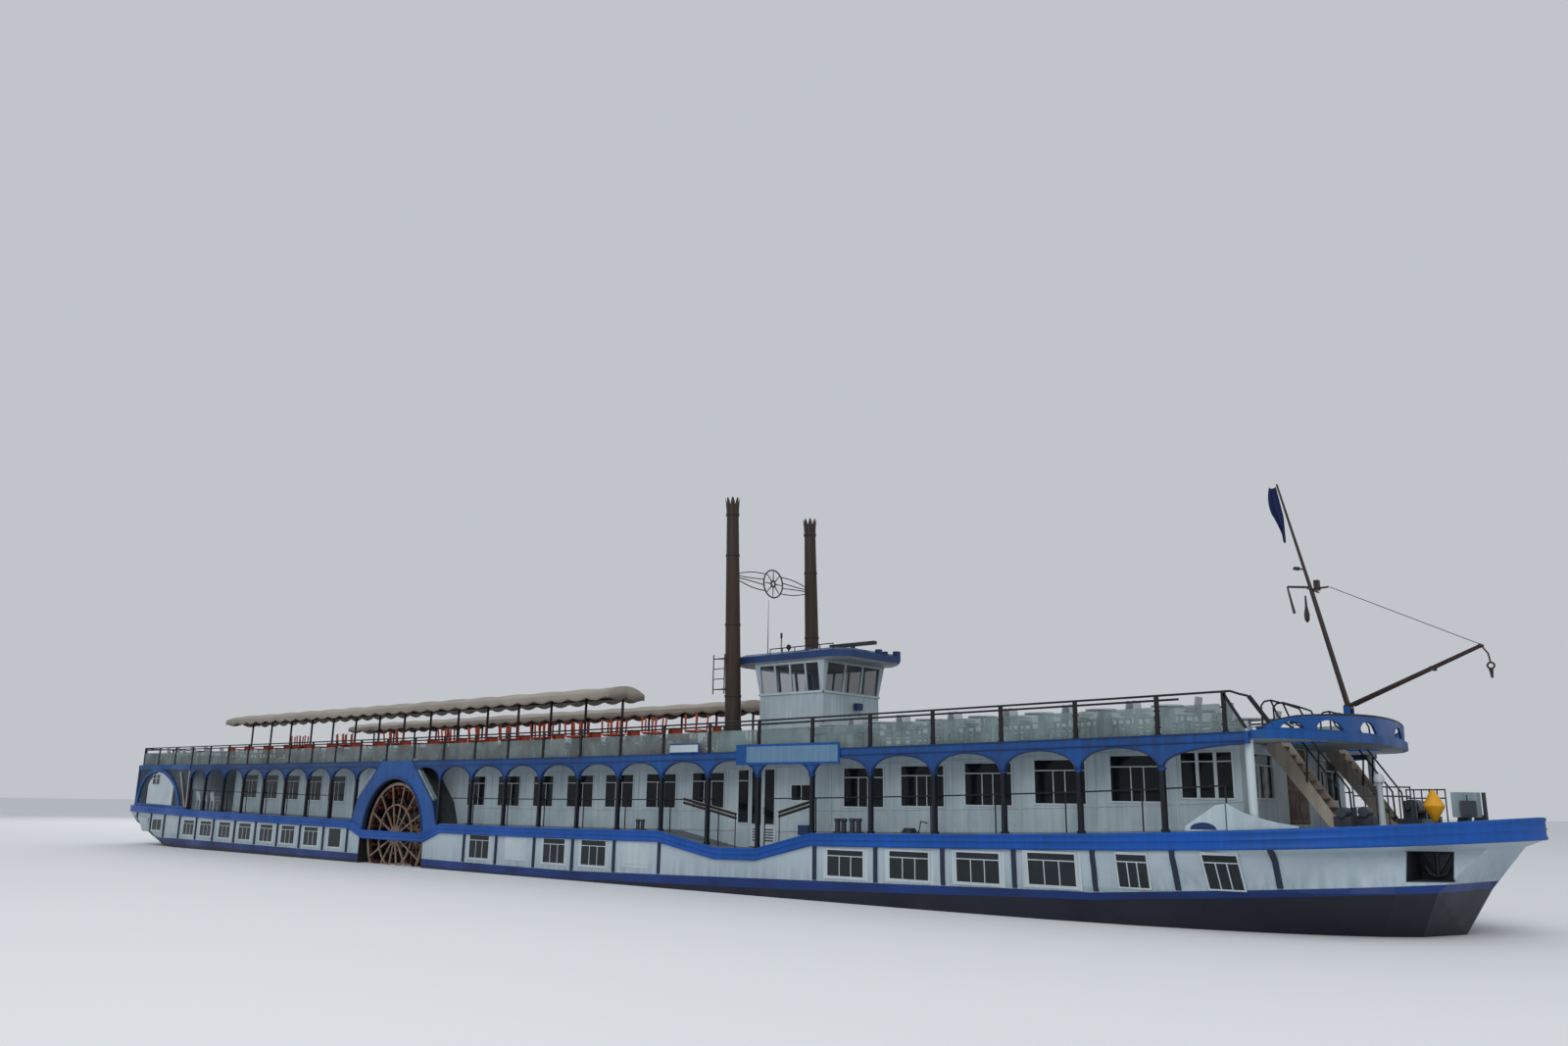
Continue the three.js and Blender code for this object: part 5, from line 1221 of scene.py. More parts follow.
# Funnels: smooth barrels with bands and a toothed crown, hinged on domed bases, with an ornament between.
# Profiles: radius and height
funnelTrim = {
    "x": 5.5, "y": 1.025, "z": 2.456, "lean": 2.0,
    "barrel": [(0.118, 0.0), (0.150, 0.0), (0.152, 0.035), (0.136, 0.04), (0.133, 0.55), (0.141, 0.555),
               (0.141, 0.59), (0.132, 0.595), (0.124, 1.75), (0.132, 1.755), (0.132, 1.79), (0.1235, 1.795),
               (0.112, 2.95), (0.120, 2.955), (0.120, 2.99), (0.111, 2.995), (0.104, 3.66), (0.114, 3.67),
               (0.118, 3.70), (0.110, 3.73), (0.098, 3.74), (0.094, 3.60)],
    "base": [(0.287, 2.046), (0.290, 2.055), (0.290, 2.10), (0.276, 2.115), (0.272, 2.17), (0.255, 2.26),
             (0.222, 2.34), (0.182, 2.40), (0.165, 2.425), (0.165, 2.450), (0.14, 2.452)],
    "teeth": 8, "crown": (3.735, 3.86, 3.995), "boltCircle": 0.282,
    "ornament": {"z": 5.08, "rim": 0.245, "hub": 0.05, "reach": 0.905},
}


def makeFunnels():
    trim = funnelTrim
    tilt = Matrix.Rotation(math.radians(-trim["lean"]), 4, "Y")
    low, notch, tip = trim["crown"]
    barrels, bases, bolts = Shape(), Shape(), []
    for side, _ in sides:
        y = side * trim["y"]
        foot = Vector((trim["x"], y, trim["z"]))
        barrels.turned(foot, trim["barrel"], 48, trim["lean"])
        rings = []
        for k, (cos, sin) in enumerate(circle(96)):
            share = abs(((k * trim["teeth"] / 96) % 1) * 2 - 1)
            high = notch + (tip - notch) * (1 - (1 - share) ** 1.6)
            rows = ((0.107, low), (0.110, (low + notch) / 2), (0.112 + 0.014 * share, high),
                    (0.106 + 0.014 * share, high), (0.104, (low + notch) / 2), (0.101, low))
            rings.append([foot + tilt @ Vector((r * cos, r * sin, h)) for r, h in rows])
        barrels.loft(rings, loop=True).box((5.30, y - 0.025, 2.435), (5.40, y + 0.025, 2.53))
        bases.turned((trim["x"], y, 0), trim["base"], 48)
        for near, far in ((y - 0.066, y - 0.034), (y + 0.034, y + 0.066)):
            bases.box((5.29, near, 2.38), (5.36, far, 2.485))
        bases.rod([(5.325, y - 0.075, 2.45), (5.325, y + 0.075, 2.45)], 0.014, 12)
        reach = trim["boltCircle"]
        bolts += [((trim["x"] + reach * cos, y + reach * sin, 2.10), (0, 0, 0), (1, 1, 1))
                  for cos, sin in circle(24)[1::2]]
    # Rungs on a bracket outboard of the starboard funnel
    ladder = Shape()
    for x in (5.17, 5.43):
        ladder.rod([(x, -1.19, 3.06), (x, -1.19, 3.72)], 0.010)
    for k in range(4):
        z = 3.14 + 0.17 * k
        ladder.rod([(5.17, -1.19, z), (5.43, -1.19, z)], 0.008)
    for z in (3.14, 3.65):
        ladder.rod([(5.43, -1.19, z), (5.46, -1.13, z)], 0.010)
        ladder.rod([(5.17, -1.19, z), (5.36, -1.08, z)], 0.008)
    nut = Shape().turned((0, 0, 0), [(0.012, 0), (0.012, 0.012), (0.006, 0.015)], 6)
    placeMany(nut, "baseBolts", bolts, "iron")
    made = finishShape(barrels, "funnelBarrels", "funnel", "funnels", smooth=40)
    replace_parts(made, "funnel_starboard", "funnel_port")
    made = finishShape(bases, "funnelBases", "panel", slot="hull_paint", smooth=40)
    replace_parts(made, "funnel_base_starboard", "funnel_base_port")
    finishShape(ladder, "funnelLadder", "funnel", "funnels", smooth=60)


# The ornament: a spoked ring between the funnels, held by four bars on each side
def makeOrnament():
    trim = funnelTrim
    form = trim["ornament"]

    def leanX(z):
        return trim["x"] - (z - trim["z"]) * math.tan(math.radians(trim["lean"]))

    middle, rim = Vector((leanX(form["z"]), 0, form["z"])), form["rim"]
    brace = Shape().ring(middle, (1, 0, 0), rim, 0.013, 48, 8)
    brace.ring(middle, (1, 0, 0), form["hub"], 0.016, 24, 8)
    for cos, sin in circle(8):
        way = Vector((0, cos, sin))
        brace.rod([middle + way * 0.04, middle + way * rim], 0.012, 6, 0.006)
    for side, _ in sides:
        for spread, bend in ((0.15, 0.05), (0.05, 0.0), (-0.05, 0.0), (-0.15, -0.05)):
            path = []
            start = math.sqrt(rim ** 2 - spread ** 2)
            for k in range(9):
                share = k / 8
                z = middle.z + spread * ((1 - share) ** 1.5 + 0.4 * share) + bend * math.sin(math.pi * share)
                path.append((leanX(z), side * (start + (form["reach"] - start) * share), z))
            brace.rod(path, 0.009)
    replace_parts(finishShape(brace, "funnelOrnament", "funnel", "funnels", smooth=50), "funnel_brace")


makeFunnels()
makeOrnament()

# Wheelhouse: panes, a sill rail, wall seams, rails and gear on its roof, and the helm inside
houseTrim = {"aft": 5.815, "fore": 7.185, "half": 0.72, "sill": 3.05, "head": 3.545, "lean": 0.07,
             "helm": (6.82, 0, 2.72)}


def makeWheelhouseWalls():
    trim = houseTrim
    aft, fore, half, sill, head = (trim[key] for key in ("aft", "fore", "half", "sill", "head"))
    panes, lines = Shape(), Shape()
    inset, out = 0.012, trim["lean"] - 0.012
    a0, f0, h0 = aft + inset, fore - inset, half - inset
    a1, f1, h1 = aft - out, fore + out, half + out
    for points in (
        [(a0, -h0, sill), (f0, -h0, sill), (f1, -h1, head), (a1, -h1, head)],
        [(f0, -h0, sill), (f0, h0, sill), (f1, h1, head), (f1, -h1, head)],
    ):
        start = Vector(points[0])
        normal = (Vector(points[1]) - start).cross(Vector(points[3]) - start).normalized()
        panes.slab(points, tuple(normal * -0.006))
    panes.slab([(a0, h0, sill), (f0, h0, sill), (f1, h1, head), (a1, h1, head)], (0, -0.006, 0))
    for low, high, out in ((3.035, 3.065, 0.016), (2.09, 2.14, 0.010), (2.56, 2.575, 0.006)):
        a, f, h = aft - out, fore + out, half + out
        for x0, y0, x1, y1 in ((a, -h, f, -h + 0.02), (a, h - 0.02, f, h), (f - 0.02, -h, f, h),
                               (a, -h, a + 0.02, -0.16), (a, 0.16, a + 0.02, h)):
            lines.box((x0, y0, low), (x1, y1, high))
    for k in range(1, 6):
        x = aft + (fore - aft) * k / 6
        lines.box((x - 0.006, -half - 0.005, 2.10), (x + 0.006, -half + 0.01, 3.04),
                  (x - 0.006, half - 0.01, 2.10), (x + 0.006, half + 0.005, 3.04))
    for y in (-0.48, -0.24, 0.0, 0.24, 0.48):
        lines.box((fore - 0.01, y - 0.006, 2.10), (fore + 0.005, y + 0.006, 3.04))
    finishShape(panes, "wheelhousePanes", "clearGlass")
    finishShape(lines, "wheelhouseMouldings", "frameWhite", bevel=0.002)


def makeWheelhouseGear():
    gear, dark = Shape(), Shape()
    # Roof gear: lamps and aerials on the front edge, a low rail, and thin poles aft
    lamps = ((0.13, 3.735, 0.04, 0.035), (0.29, 3.715, 0.035, 0.035), (0.62, 3.70, 0.05, 0.085))
    for y, z, half, tall in lamps:
        gear.box((7.60, y - half, z - tall), (7.69, y + half, z + tall))
    gear.box((7.215, 0.02, 2.80), (7.30, 0.16, 2.91))
    for k in range(6):
        x = 6.10 + 0.27 * k
        dark.rod([(x, -0.80, 3.69), (x, -0.80, 3.79)], 0.008)
    dark.rod([(6.10, -0.80, 3.79), (7.45, -0.80, 3.79)], 0.009)
    dark.rod([(5.97, -0.72, 3.68), (5.97, -0.72, 4.64)], 0.008, 6, 0.003)
    dark.rod([(5.967, -0.38, 3.71), (5.967, -0.38, 4.12)], 0.009)
    dark.rod([(5.967, -0.38, 4.03), (5.967, -0.38, 4.12)], 0.018, 10)
    horn = [(0.012, 0), (0.012, 0.13), (0.036, 0.15), (0.042, 0.18), (0.034, 0.21), (0.01, 0.225)]
    dark.turned((6.02, -0.25, 3.71), horn, 14)
    gear.turned((6.4, -0.2, 3.735), [(0.03, 0), (0.06, 0.02), (0.072, 0.06), (0.06, 0.10), (0.025, 0.12)], 20)
    # The helm: a console with a wheel, and a seat
    gear.plate(-0.30, [(6.86, 2.09), (7.10, 2.09), (7.12, 2.72), (6.98, 2.76), (6.88, 2.66)], 0.60)
    helm = houseTrim["helm"]
    dark.ring(helm, (1, 0, 0.3), 0.12, 0.010, 28, 6)
    for cos, sin in circle(6):
        dark.rod([helm, (helm[0] - 0.036 * sin, 0.12 * cos, helm[2] + 0.115 * sin)], 0.006)
    dark.rod([helm, (6.90, 0, 2.70)], 0.02, 10)
    seat = [(0.11, 0), (0.11, 0.02), (0.03, 0.04), (0.03, 0.28), (0.12, 0.30), (0.13, 0.33), (0.12, 0.36)]
    gear.turned((6.45, 0, 2.07), seat, 20)
    gear.plate(-0.11, [(6.34, 2.44), (6.36, 2.44), (6.32, 2.74), (6.30, 2.74)], 0.22)
    finishShape(gear, "wheelhouseGear", "arch", smooth=35, bevel=0.003)
    finishShape(dark, "wheelhouseAerials", "black", smooth=60)


makeWheelhouseWalls()
makeWheelhouseGear()
print("funnels and wheelhouse made")

# After house side: a blue arched ring round a pale panel, between dark boards and slanted pillars
sternTrim = {
    "aft": -15.85, "fore": -12.502, "wide": 0.09, "panel": (-15.10, -13.43, 1.01, 1.55, 1.905),
    "ring": ((-15.80, 0.99), (-15.72, 1.30), (-15.60, 1.55), (-15.38, 1.77), (-15.05, 1.90), (-14.55, 1.975),
             (-14.10, 1.91), (-13.65, 1.74), (-13.32, 1.52), (-13.10, 1.28), (-12.93, 0.99)),
    "window": (-14.80, -14.36, 1.56, 1.80),
    "pillars": (((-12.62, 1.00), (-13.10, 1.86)), ((-12.56, 1.90), (-12.52, 0.99))),
}


def makeSternScreen():
    trim = sternTrim
    dark, blue, pale, beige = Shape(), Shape(), Shape(), Shape()
    start, end = trim["aft"], trim["fore"]

    # A board that runs the length of the screen, with a foot and a head that follow the decks
    def board(shape, outer, inner, foot, head):
        corners = ((outer, foot), (outer, head), (inner, head), (inner, foot))
        shape.loft([[(x, y, height(x)) for y, height in corners] for x in along(start, end, 0.42)])

    board(dark, -2.222, -2.192, lambda x: deckAt(x) + 0.03, lambda x: upperAt(x) - 0.12)
    board(blue, -2.246, -2.19, lambda x: deckAt(x) + 0.003, lambda x: deckAt(x) + 0.07)
    board(blue, -2.246, -2.19, lambda x: upperAt(x) - 0.125, lambda x: upperAt(x) - 0.001)
    for x in (start, end - 0.06):
        blue.box((x, -2.246, deckAt(x) + 0.005), (x + 0.06, -2.19, upperAt(x) - 0.01))
    rings = []
    for (x, z), way in withWays(trim["ring"]):
        innerX, innerZ = x + way.y * trim["wide"], max(z - way.x * trim["wide"], trim["ring"][0][1])
        rings.append([(x, -2.25, z), (innerX, -2.25, innerZ), (innerX, -2.20, innerZ), (x, -2.20, z)])
    blue.loft(rings)
    x0, x1, low, shoulder, top = trim["panel"]
    outline = [(x0, low), (x1, low)]
    for k in range(15):
        share = 1 - 2 * k / 14
        height = shoulder + (top - shoulder) * (1 - abs(share) ** 1.9) ** 0.8
        outline.append(((x0 + x1) / 2 + (x1 - x0) / 2 * share, height))
    pale.plate(-2.238, outline, 0.03)
    made = Window(lambda x, z: -2.239)
    x0, x1, low, high = trim["window"]
    for left, right in ((x0, (x0 + x1) / 2 - 0.02), ((x0 + x1) / 2 + 0.02, x1)):
        made.add((left + right) / 2, right - left, low, high, (), 0.6, 0.014)
    for foot, head in trim["pillars"]:
        beige.bar((foot[0], -2.252, foot[1]), (head[0], -2.252, head[1]), 0.012, 0.05)
    for side, name in sides:
        title = name.title()
        base = finishShape(dark.onSide(side), "sternBoards" + title, "sternDark")
        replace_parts(base, "stern_arch_" + name)
        ring = blue.onSide(side)
        finishShape(ring, "sternArchRing" + title, "fascia", slot="arch_navy", smooth=35, bevel=0.004)
        finishShape(pale.onSide(side), "sternPanel" + title, "frameWhite", bevel=0.004)
        finishShape(beige.onSide(side), "sternPillars" + title, "beige", bevel=0.003)
        finishShape(made.frames.onSide(side), "sternWindowFrames" + title, "frameWhite")
        finishShape(made.panes.onSide(side), "sternWindowPanes" + title, "glass")
    barsAlong(bothSides(2.240, outline + outline[:1]), "sternPanelBeads", 0.010, "arch")


makeSternScreen()

# Seats and tables, each shape made once and set out in rows. Some seats stand a little out of line. The red
# and the white rows: the first place, the distance between two and how many. Stowed: with chairs on tables
seatTrim = {
    "jitter": 0.02, "turnJitter": 8, "onTable": 0.634, "stowed": (3, 5, 7, 9, 10, 11, 12, 13, 14, 15, 16),
    "redRows": (-10.9, 1.02, 17), "redFromTable": 0.34, "whiteRows": (8.2, 0.86, 7), "whiteFromTable": 0.26,
    "saloonRows": (*range(0, 5), *range(12, 16), *range(18, 23)), "saloonFromTable": 0.33,
    "table": ((0.10, 0), (0.10, 0.012), (0.02, 0.03), (0.02, 0.35), (0.19, 0.355), (0.19, 0.372)),
}


def chairShape(tall=0.44, arms=False):
    chair = Shape().slab([(-0.10, -0.10, 0.23), (0.10, -0.10, 0.24), (0.10, 0.10, 0.24), (-0.10, 0.10, 0.23)],
                         (0, 0, 0.018))
    chair.slab([(-0.10, -0.10, 0.25), (-0.085, -0.10, 0.25), (-0.125, -0.09, tall), (-0.14, -0.09, tall)],
               (0, 0.19, 0))
    splay = 1.12
    for x, y in product((-0.085, 0.085), repeat=2):
        chair.bar((x, y, 0.235), (x * splay, y * splay, 0), 0.026, 0.022)
    if arms:
        for y in (-0.10, 0.10):
            chair.box((-0.10, y - 0.008, 0.315), (0.08, y + 0.008, 0.33))
    return chair


def seatPlaces(x, ys, turn, base, rise=0.002):
    places = []
    for row, y in enumerate(ys):
        lean = math.sin(row * 78.233)
        spot = (x + lean * seatTrim["jitter"], y, base(x) + rise)
        places.append((spot, (0, 0, turn + lean * seatTrim["turnJitter"]), (1, 1, 1)))
    return places


def makeSeats():
    trim = seatTrim
    red, redTables, white, whiteTables, saloon = [], [], [], [], []
    pairs = ((-1, 0), (1, 180))
    first, pitch, count = trim["redRows"]
    for number in range(count):
        x = first + pitch * number
        rows = (1.78, 0.55) if x < 3.5 else (1.78,)
        for side, _ in sides:
            redTables += [((x, side * y, upperAt(x) + 0.002), (0, 0, 0), (1, 1, 1)) for y in rows]
            for way, turn in pairs:
                red += seatPlaces(x + way * trim["redFromTable"], [side * y for y in rows], turn, upperAt)
                if number in trim["stowed"]:
                    near = x + way * 0.125
                    spot = (near, side * rows[0], upperAt(near) + trim["onTable"])
                    red.append((spot, (180 + way * 4, way * 3, turn + 14 * number), (1, 1, 1)))
    first, pitch, count = trim["whiteRows"]
    for number, (side, _), y in product(range(count), sides, (1.72, 0.8)):
        x = first + pitch * number
        whiteTables.append(((x, side * y, upperAt(x) + 0.002), (0, 0, 0), (1, 1, 1)))
        for way, turn in pairs:
            white += seatPlaces(x + way * trim["whiteFromTable"], [side * y], turn, upperAt)
    for x in (-14.6, -13.95, -13.1, -12.3):
        white += seatPlaces(x, [-1.9, -1.5, 1.5, 1.9], 90, upperAt)
    for x in (-12.25, -11.85, -11.45):
        white += seatPlaces(x, [-1.98, 1.98], 90, deckAt)
    for number, (side, _) in product(trim["saloonRows"], sides):
        x = postX(number + 0.5)
        whiteTables.append(((x, side * 1.3, deckAt(x) + 0.02), (0, 0, 0), (1.2, 1.0, 1.0)))
        for way, turn in pairs:
            saloon += seatPlaces(x + way * trim["saloonFromTable"], [side * 1.3], turn, deckAt, 0.022)
    table = Shape().turned((0, 0, 0), trim["table"])
    placeMany(chairShape(), "sunDeckChairs", red, "chairRed")
    placeMany(table, "sunDeckTables", redTables, "chairRed", smooth=40)
    placeMany(chairShape(0.45, True), "whiteChairs", white, "chairWhite")
    placeMany(table, "whiteTables", whiteTables, "chairWhite", smooth=40)
    placeMany(chairShape(), "saloonSeats", saloon, "wood")


makeSeats()

# Fittings on the galleries. Bitts: place and size. Coil: place of the coiled rope
deckTrim = {"bitts": ((4.51, 1.0), (8.68, 1.2), (8.94, 1.2)), "coil": 9.84, "locker": (7.90, 8.10)}


def makeGalleryFittings():
    trim = deckTrim
    iron = Shape()
    profile = [(0.032, 0.01), (0.030, 0.13), (0.042, 0.135), (0.042, 0.155), (0.03, 0.165)]
    for x, size in trim["bitts"]:
        z = edgeAt(x) + 0.003
        iron.box((x - 0.10, -2.16, z), (x + 0.10, -2.04, z + 0.018))
        for place in (x - 0.055, x + 0.055):
            iron.turned((place, -2.10, z), [(radius * size, height * size) for radius, height in profile], 16)
    x, z = trim["coil"], edgeAt(trim["coil"]) + 0.003
    for k in range(3):
        iron.ring((x, -2.08, z + 0.016 + 0.022 * k), (0, 0, 1), 0.10 - 0.014 * k, 0.012, 24, 6)
    iron.rod([(x + 0.16, -2.10, z), (x + 0.20, -2.10, z + 0.16), (x + 0.30, -2.10, z + 0.14)], 0.012)
    x0, x1 = trim["locker"]
    floor = edgeAt((x0 + x1) / 2)
    locker = Shape().box((x0, -2.12, floor + 0.02), (x1, -1.98, floor + 0.16))
    finishShape(iron.mirrored(), "mooringFittings", "iron", smooth=40, bevel=0.002)
    finishShape(locker.mirrored(), "deckLockers", "arch", bevel=0.006)


# Foredeck: a ventilator, pin rails, chests with rollers, fairleads, the signal shape, and a plate on posts
def makeForedeck():
    dark, signal, pale, plate = Shape(), Shape(), Shape(), Shape()
    level = deckAt(15.4)
    pale.turned((15.40, -0.9, level + 0.002), [
        (0.045, 0), (0.032, 0.02), (0.030, 0.44), (0.035, 0.45), (0.055, 0.47), (0.057, 0.51), (0.045, 0.545),
        (0.02, 0.56)], 24)
    for side, _ in sides:
        for height in (0.32, 0.42):
            dark.bar((15.15, side * 1.02, level + height), (15.66, side * 0.72, level + height), 0.016, 0.016)
        for k in range(6):
            x, y = 15.15 + 0.51 * k / 5, side * (1.02 - 0.30 * k / 5)
            dark.bar((x, y, deckAt(x) + 0.002), (x, y, level + 0.43), 0.014, 0.014)
        for x, y in ((15.20, 1.55), (15.35, 1.30)):
            y, z = side * y, deckAt(x)
            dark.box((x - 0.09, y - 0.07, z + 0.002), (x + 0.09, y + 0.07, z + 0.11))
            dark.rod([(x, y - side * 0.10, z + 0.15), (x, y + side * 0.10, z + 0.15)], 0.055, 16)
        dark.slab([(16.02, side * 0.30, 1.19), (16.13, side * 0.26, 1.20), (16.148, side * 0.26, 1.29),
                   (16.04, side * 0.30, 1.29)], (0, side * 0.12, 0))
    profile = [(0.012, 0), (0.028, 0.015), (0.109, 0.165), (0.109, 0.17), (0.028, 0.32), (0.01, 0.335)]
    signal.turned((15.93, -0.9, 1.21), profile, 24)
    dark.rod([(15.93, -0.9, deckAt(15.9)), (15.93, -0.9, 1.225)], 0.012, 8)
    plate.slab([(16.02, -0.565, 1.262), (16.26, -0.405, 1.262), (16.26, -0.405, 1.53), (16.02, -0.565, 1.53)],
               (0.015, 0.022, 0))
    dark.slab([(16.10, -0.54, 1.275), (16.23, -0.453, 1.275), (16.23, -0.453, 1.44), (16.10, -0.54, 1.44)],
              (0.012, 0.002, 0))
    dark.rod([(16.15, -0.46, deckAt(16.15)), (16.15, -0.46, 1.50)], 0.018, 8)
    dark.rod([(16.30, -0.36, deckAt(16.3)), (16.30, -0.36, 1.53)], 0.022, 8)
    finishShape(signal, "signalShape", "orange", smooth=25)
    finishShape(pale, "foredeckVentilator", "chairWhite", slot="saloon_white", smooth=40)
    finishShape(dark, "foredeckMachinery", "iron", smooth=35, bevel=0.003)
    finishShape(plate, "foredeckPlate", "panel", slot="frame_blue", bevel=0.004)


# Fairings that rise to the wing bulwarks, each with a dark half-round port
def makeWings():
    fairing = [(x, deckAt(place) + rise) for x, place, rise in (
        (13.72, 13.72, 0.004), (14.185, 14.18, 0.004), (14.185, 14.18, 0.286), (14.08, 14.08, 0.275),
        (13.90, 13.9, 0.17), (13.72, 13.72, 0.06))]
    port = []
    for k in range(13):
        turn = math.pi * k / 12
        port.append((13.93 + 0.15 * math.cos(turn), deckAt(13.93) + 0.02 + 0.075 * math.sin(turn)))
    finishShape(Shape().plate(-2.246, fairing, 0.04).mirrored(), "wingFairings", "white", bevel=0.006)
    finishShape(Shape().plate(-2.249, port, 0.02).mirrored(), "wingPorts", "arch")


# The stowed anchors: a triangular plate, a shank, the arms and a ring
def makeAnchors():
    anchors = Shape().plate(-0.78, [(15.74, 0.88), (16.02, 0.88), (15.88, 0.66)], 0.03)
    anchors.rod([(15.88, -0.80, 0.89), (15.88, -0.80, 0.66)], 0.018, 10)
    arms = ((15.76, 0.75), (15.80, 0.67), (15.88, 0.64), (15.96, 0.67), (16.00, 0.75))
    anchors.rod([(x, -0.81, z) for x, z in arms], 0.02, 8, 0.010)
    anchors.ring((15.88, -0.80, 0.885), (0, 1, 0), 0.03, 0.008, 16, 6)
    finishShape(anchors.mirrored(), "stowedAnchors", "iron", smooth=40)


makeGalleryFittings()
makeWings()
makeForedeck()
makeAnchors()

# Mast gear: an arm with hanging shapes, lamps, a cleat, a hook on the poles and a limp pennant
mastTrim = {"cloth": (0.20, 0.74), "head": (14.243, 5.40), "footX": 14.345, "folds": (24, 14)}


# Gives a sheet its thickness, half of it on each side of the mesh
def thicken(piece, thickness):
    cloth = piece.modifiers.new("cloth", "SOLIDIFY")
    cloth.thickness = thickness
    cloth.offset = 0


def makeMastGear():
    gear = Shape()
    for path, radius, count, tip in (
        (((14.55, 4.04), (14.27, 4.076)), 0.014, 8, None),
        (((14.27, 4.07), (14.30, 3.90), (14.331, 3.73)), 0.011, 6, 0.018),
        (((14.50, 4.27), (14.40, 4.295)), 0.010, 6, None),
        (((16.37, 3.17), (16.43, 3.08), (16.445, 2.98)), 0.010, 6, None),
    ):
        gear.rod([(x, 0, z) for x, z in path], radius, count, tip)
    lamp = [(0.006, 0), (0.028, 0.03), (0.034, 0.10), (0.016, 0.20), (0.010, 0.34)]
    gear.turned((14.48, 0, 3.60), lamp, 14)
    gear.box((14.60, -0.035, 3.99), (14.66, 0.035, 4.12))
    gear.plate(-0.03, [(14.36, 4.285), (14.42, 4.27), (14.44, 4.31), (14.38, 4.32)], 0.06)
    gear.ring((16.445, 0, 2.94), (0, 1, 0), 0.035, 0.011, 18, 6)
    gear.plate(-0.012, [(16.42, 2.90), (16.465, 2.90), (16.455, 2.80), (16.435, 2.80)], 0.024)
    gear.box((15.83, -0.080, 2.92), (15.87, -0.036, 2.965), (15.83, 0.036, 2.92), (15.87, 0.080, 2.965))
    gear.rod([(15.85, -0.06, 2.943), (15.85, 0.06, 2.943)], 0.012)
    finishShape(gear, "mastFittings", "mast", "mast", smooth=45)
    lines = [[(14.53, 0.02, 4.0), (14.86, 0.03, 2.70)], [(14.25, 0.01, 5.38), (14.87, -0.03, 2.68)]]
    barsAlong(lines, "mastHalyards", 0.003, "iron", "mast", "mast_black", sides=4)


# The pennant hangs from the masthead, gathered along the spar in soft folds
def makePennant():
    trim = mastTrim
    (width, length), (headX, headZ) = trim["cloth"], trim["head"]
    downs, acrosses = trim["folds"]
    rows = []
    for down in (j / downs for j in range(downs + 1)):
        luff = headX + (trim["footX"] - headX) * min(down / 0.55, 1) * 0.62
        gather = 0.62 - 0.42 * max(down - 0.5, 0) * 2 + 0.1 * math.sin(3 * down)
        breadth = width * gather * (0.35 + 0.65 * math.sin(math.pi * min(down + 0.12, 1) ** 0.8))
        row = []
        for across in (k / acrosses for k in range(acrosses + 1)):
            y = 0.026 * math.sin(across * math.pi * 3.2 + down * 1.5) * (0.3 + 0.7 * down)
            z = headZ - length * down - 0.02 * math.sin(across * math.pi)
            row.append((luff - 0.018 - across * breadth, y, z))
        rows.append(row)
    piece = finishShape(Shape().loft(rows, closed=False), "mastPennant", "pennant", "mast", smooth=80)
    thicken(piece, 0.003)


makeMastGear()
makePennant()
print("fittings made")

# Awnings: one length of canvas on each side, sagging a little between its hoops, with a scalloped skirt
awningTrim = {"aft": -11.2, "fore": 3.52, "middle": 1.652, "half": 0.412, "crown": 3.245, "edge": 3.12,
              "skirt": 2.99, "firstPost": 3.43, "pitch": 1.0, "scallop": 0.5, "drop": 0.055, "sag": 0.018,
              "gable": 0.25}


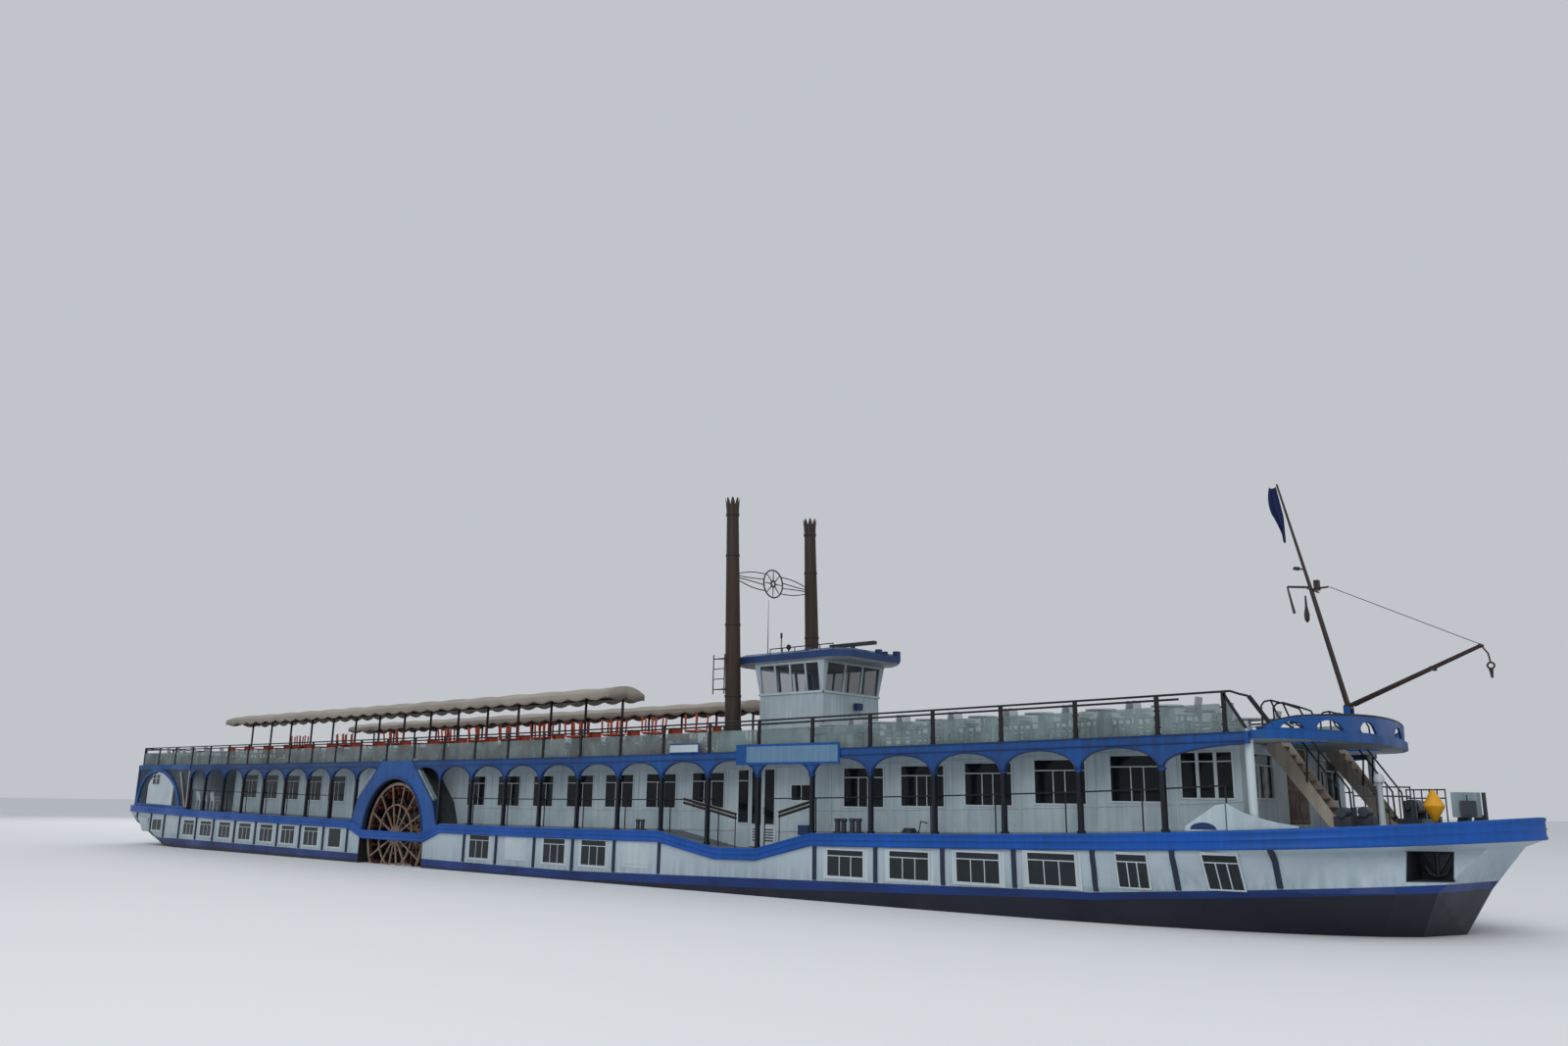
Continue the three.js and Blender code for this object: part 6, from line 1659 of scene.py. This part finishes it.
def makeAwning(side, name):
    trim = awningTrim
    middle, half, edge, crown = (trim[key] for key in ("middle", "half", "edge", "crown"))

    # Height of the skirt's foot, from the place along its scallops
    def scallop(place):
        return trim["skirt"] + trim["drop"] * (1 - abs(math.sin(math.pi * place)))

    rows = []
    for x in along(trim["aft"], trim["fore"], 0.0625):
        back = trim["firstPost"] - x
        sag = trim["sag"] * math.sin(math.pi * (back % trim["pitch"]) / trim["pitch"]) ** 2
        skirt = scallop(back / trim["scallop"])
        fall = ((-1, skirt), (-1, (skirt + edge) / 2))
        arch = [(k / 8, edge + (crown - edge - sag) * (1 - (k / 8) ** 2)) for k in range(-8, 9)]
        rise = ((1, (skirt + edge) / 2), (1, skirt))
        rows.append([(x, side * (middle + half * share), z) for share, z in (*fall, *arch, *rise)])
    canvas = Shape().loft(rows, closed=False)
    # A gable closes each end, with the same scallops along its foot
    for row in (rows[0], rows[-1]):
        feet = [(x, y, scallop((abs(y) - middle + half) / half)) for x, y, _ in row[2:-2]]
        canvas.loft(list(zip(row[2:-2], feet)), closed=False)
    piece = finishShape(canvas, "awning" + name.title(), "canvas", smooth=60)
    thicken(piece, 0.006)
    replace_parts(piece, "awning_" + name)


for side, name in sides:
    makeAwning(side, name)
print("awnings hung")

# Camera, light and floor. Lights: place, size and power
studio = {
    "place": (19.6, -15.5, 1.3), "turn": 42.0, "tilt": 103.1, "roll": 0.86, "lens": 27.675,
    "floor": (0.80, 0.81, 0.82), "sky": (0.86, 0.90, 0.96), "skyPower": 0.62,
    "lights": {"keyLight": ((26, -34, 30), 30, 8000), "sternLight": ((-40, 20, 24), 30, 4000)},
}


def makeStudio():
    scene = bpy.context.scene
    lens = bpy.data.cameras.new("photoCamera")
    lens.lens = studio["lens"]
    lens.sensor_width = 36
    lens.clip_end = 400
    camera = bpy.data.objects.new("photoCamera", lens)
    turn, tilt, roll = (Matrix.Rotation(math.radians(studio[key]), 4, axis)
                        for key, axis in (("turn", "Z"), ("tilt", "X"), ("roll", "Z")))
    camera.matrix_world = Matrix.Translation(studio["place"]) @ turn @ tilt @ roll
    scene.collection.objects.link(camera)
    scene.camera = camera
    scene.view_settings.view_transform = "Standard"

    world = bpy.data.worlds.new("softSky")
    world.use_nodes = True
    sky = world.node_tree.nodes["Background"].inputs
    sky["Color"].default_value = (*studio["sky"], 1)
    sky["Strength"].default_value = studio["skyPower"]
    scene.world = world

    for name, (spot, size, power) in studio["lights"].items():
        lamp = bpy.data.lights.new(name, "AREA")
        lamp.size = size
        lamp.energy = power
        light = bpy.data.objects.new(name, lamp)
        light.location = spot
        light.rotation_euler = (-Vector(spot)).to_track_quat("-Z", "Y").to_euler()
        scene.collection.objects.link(light)

    bpy.ops.mesh.primitive_plane_add(size=600)
    floor = bpy.context.object
    floor.name = "studioFloor"
    paint = bpy.data.materials.new("studioFloor")
    paint.use_nodes = True
    surface = paint.node_tree.nodes["Principled BSDF"].inputs
    surface["Base Color"].default_value = (*studio["floor"], 1)
    surface["Roughness"].default_value = 0.8
    floor.data.materials.append(paint)


makeStudio()
print("studio made")
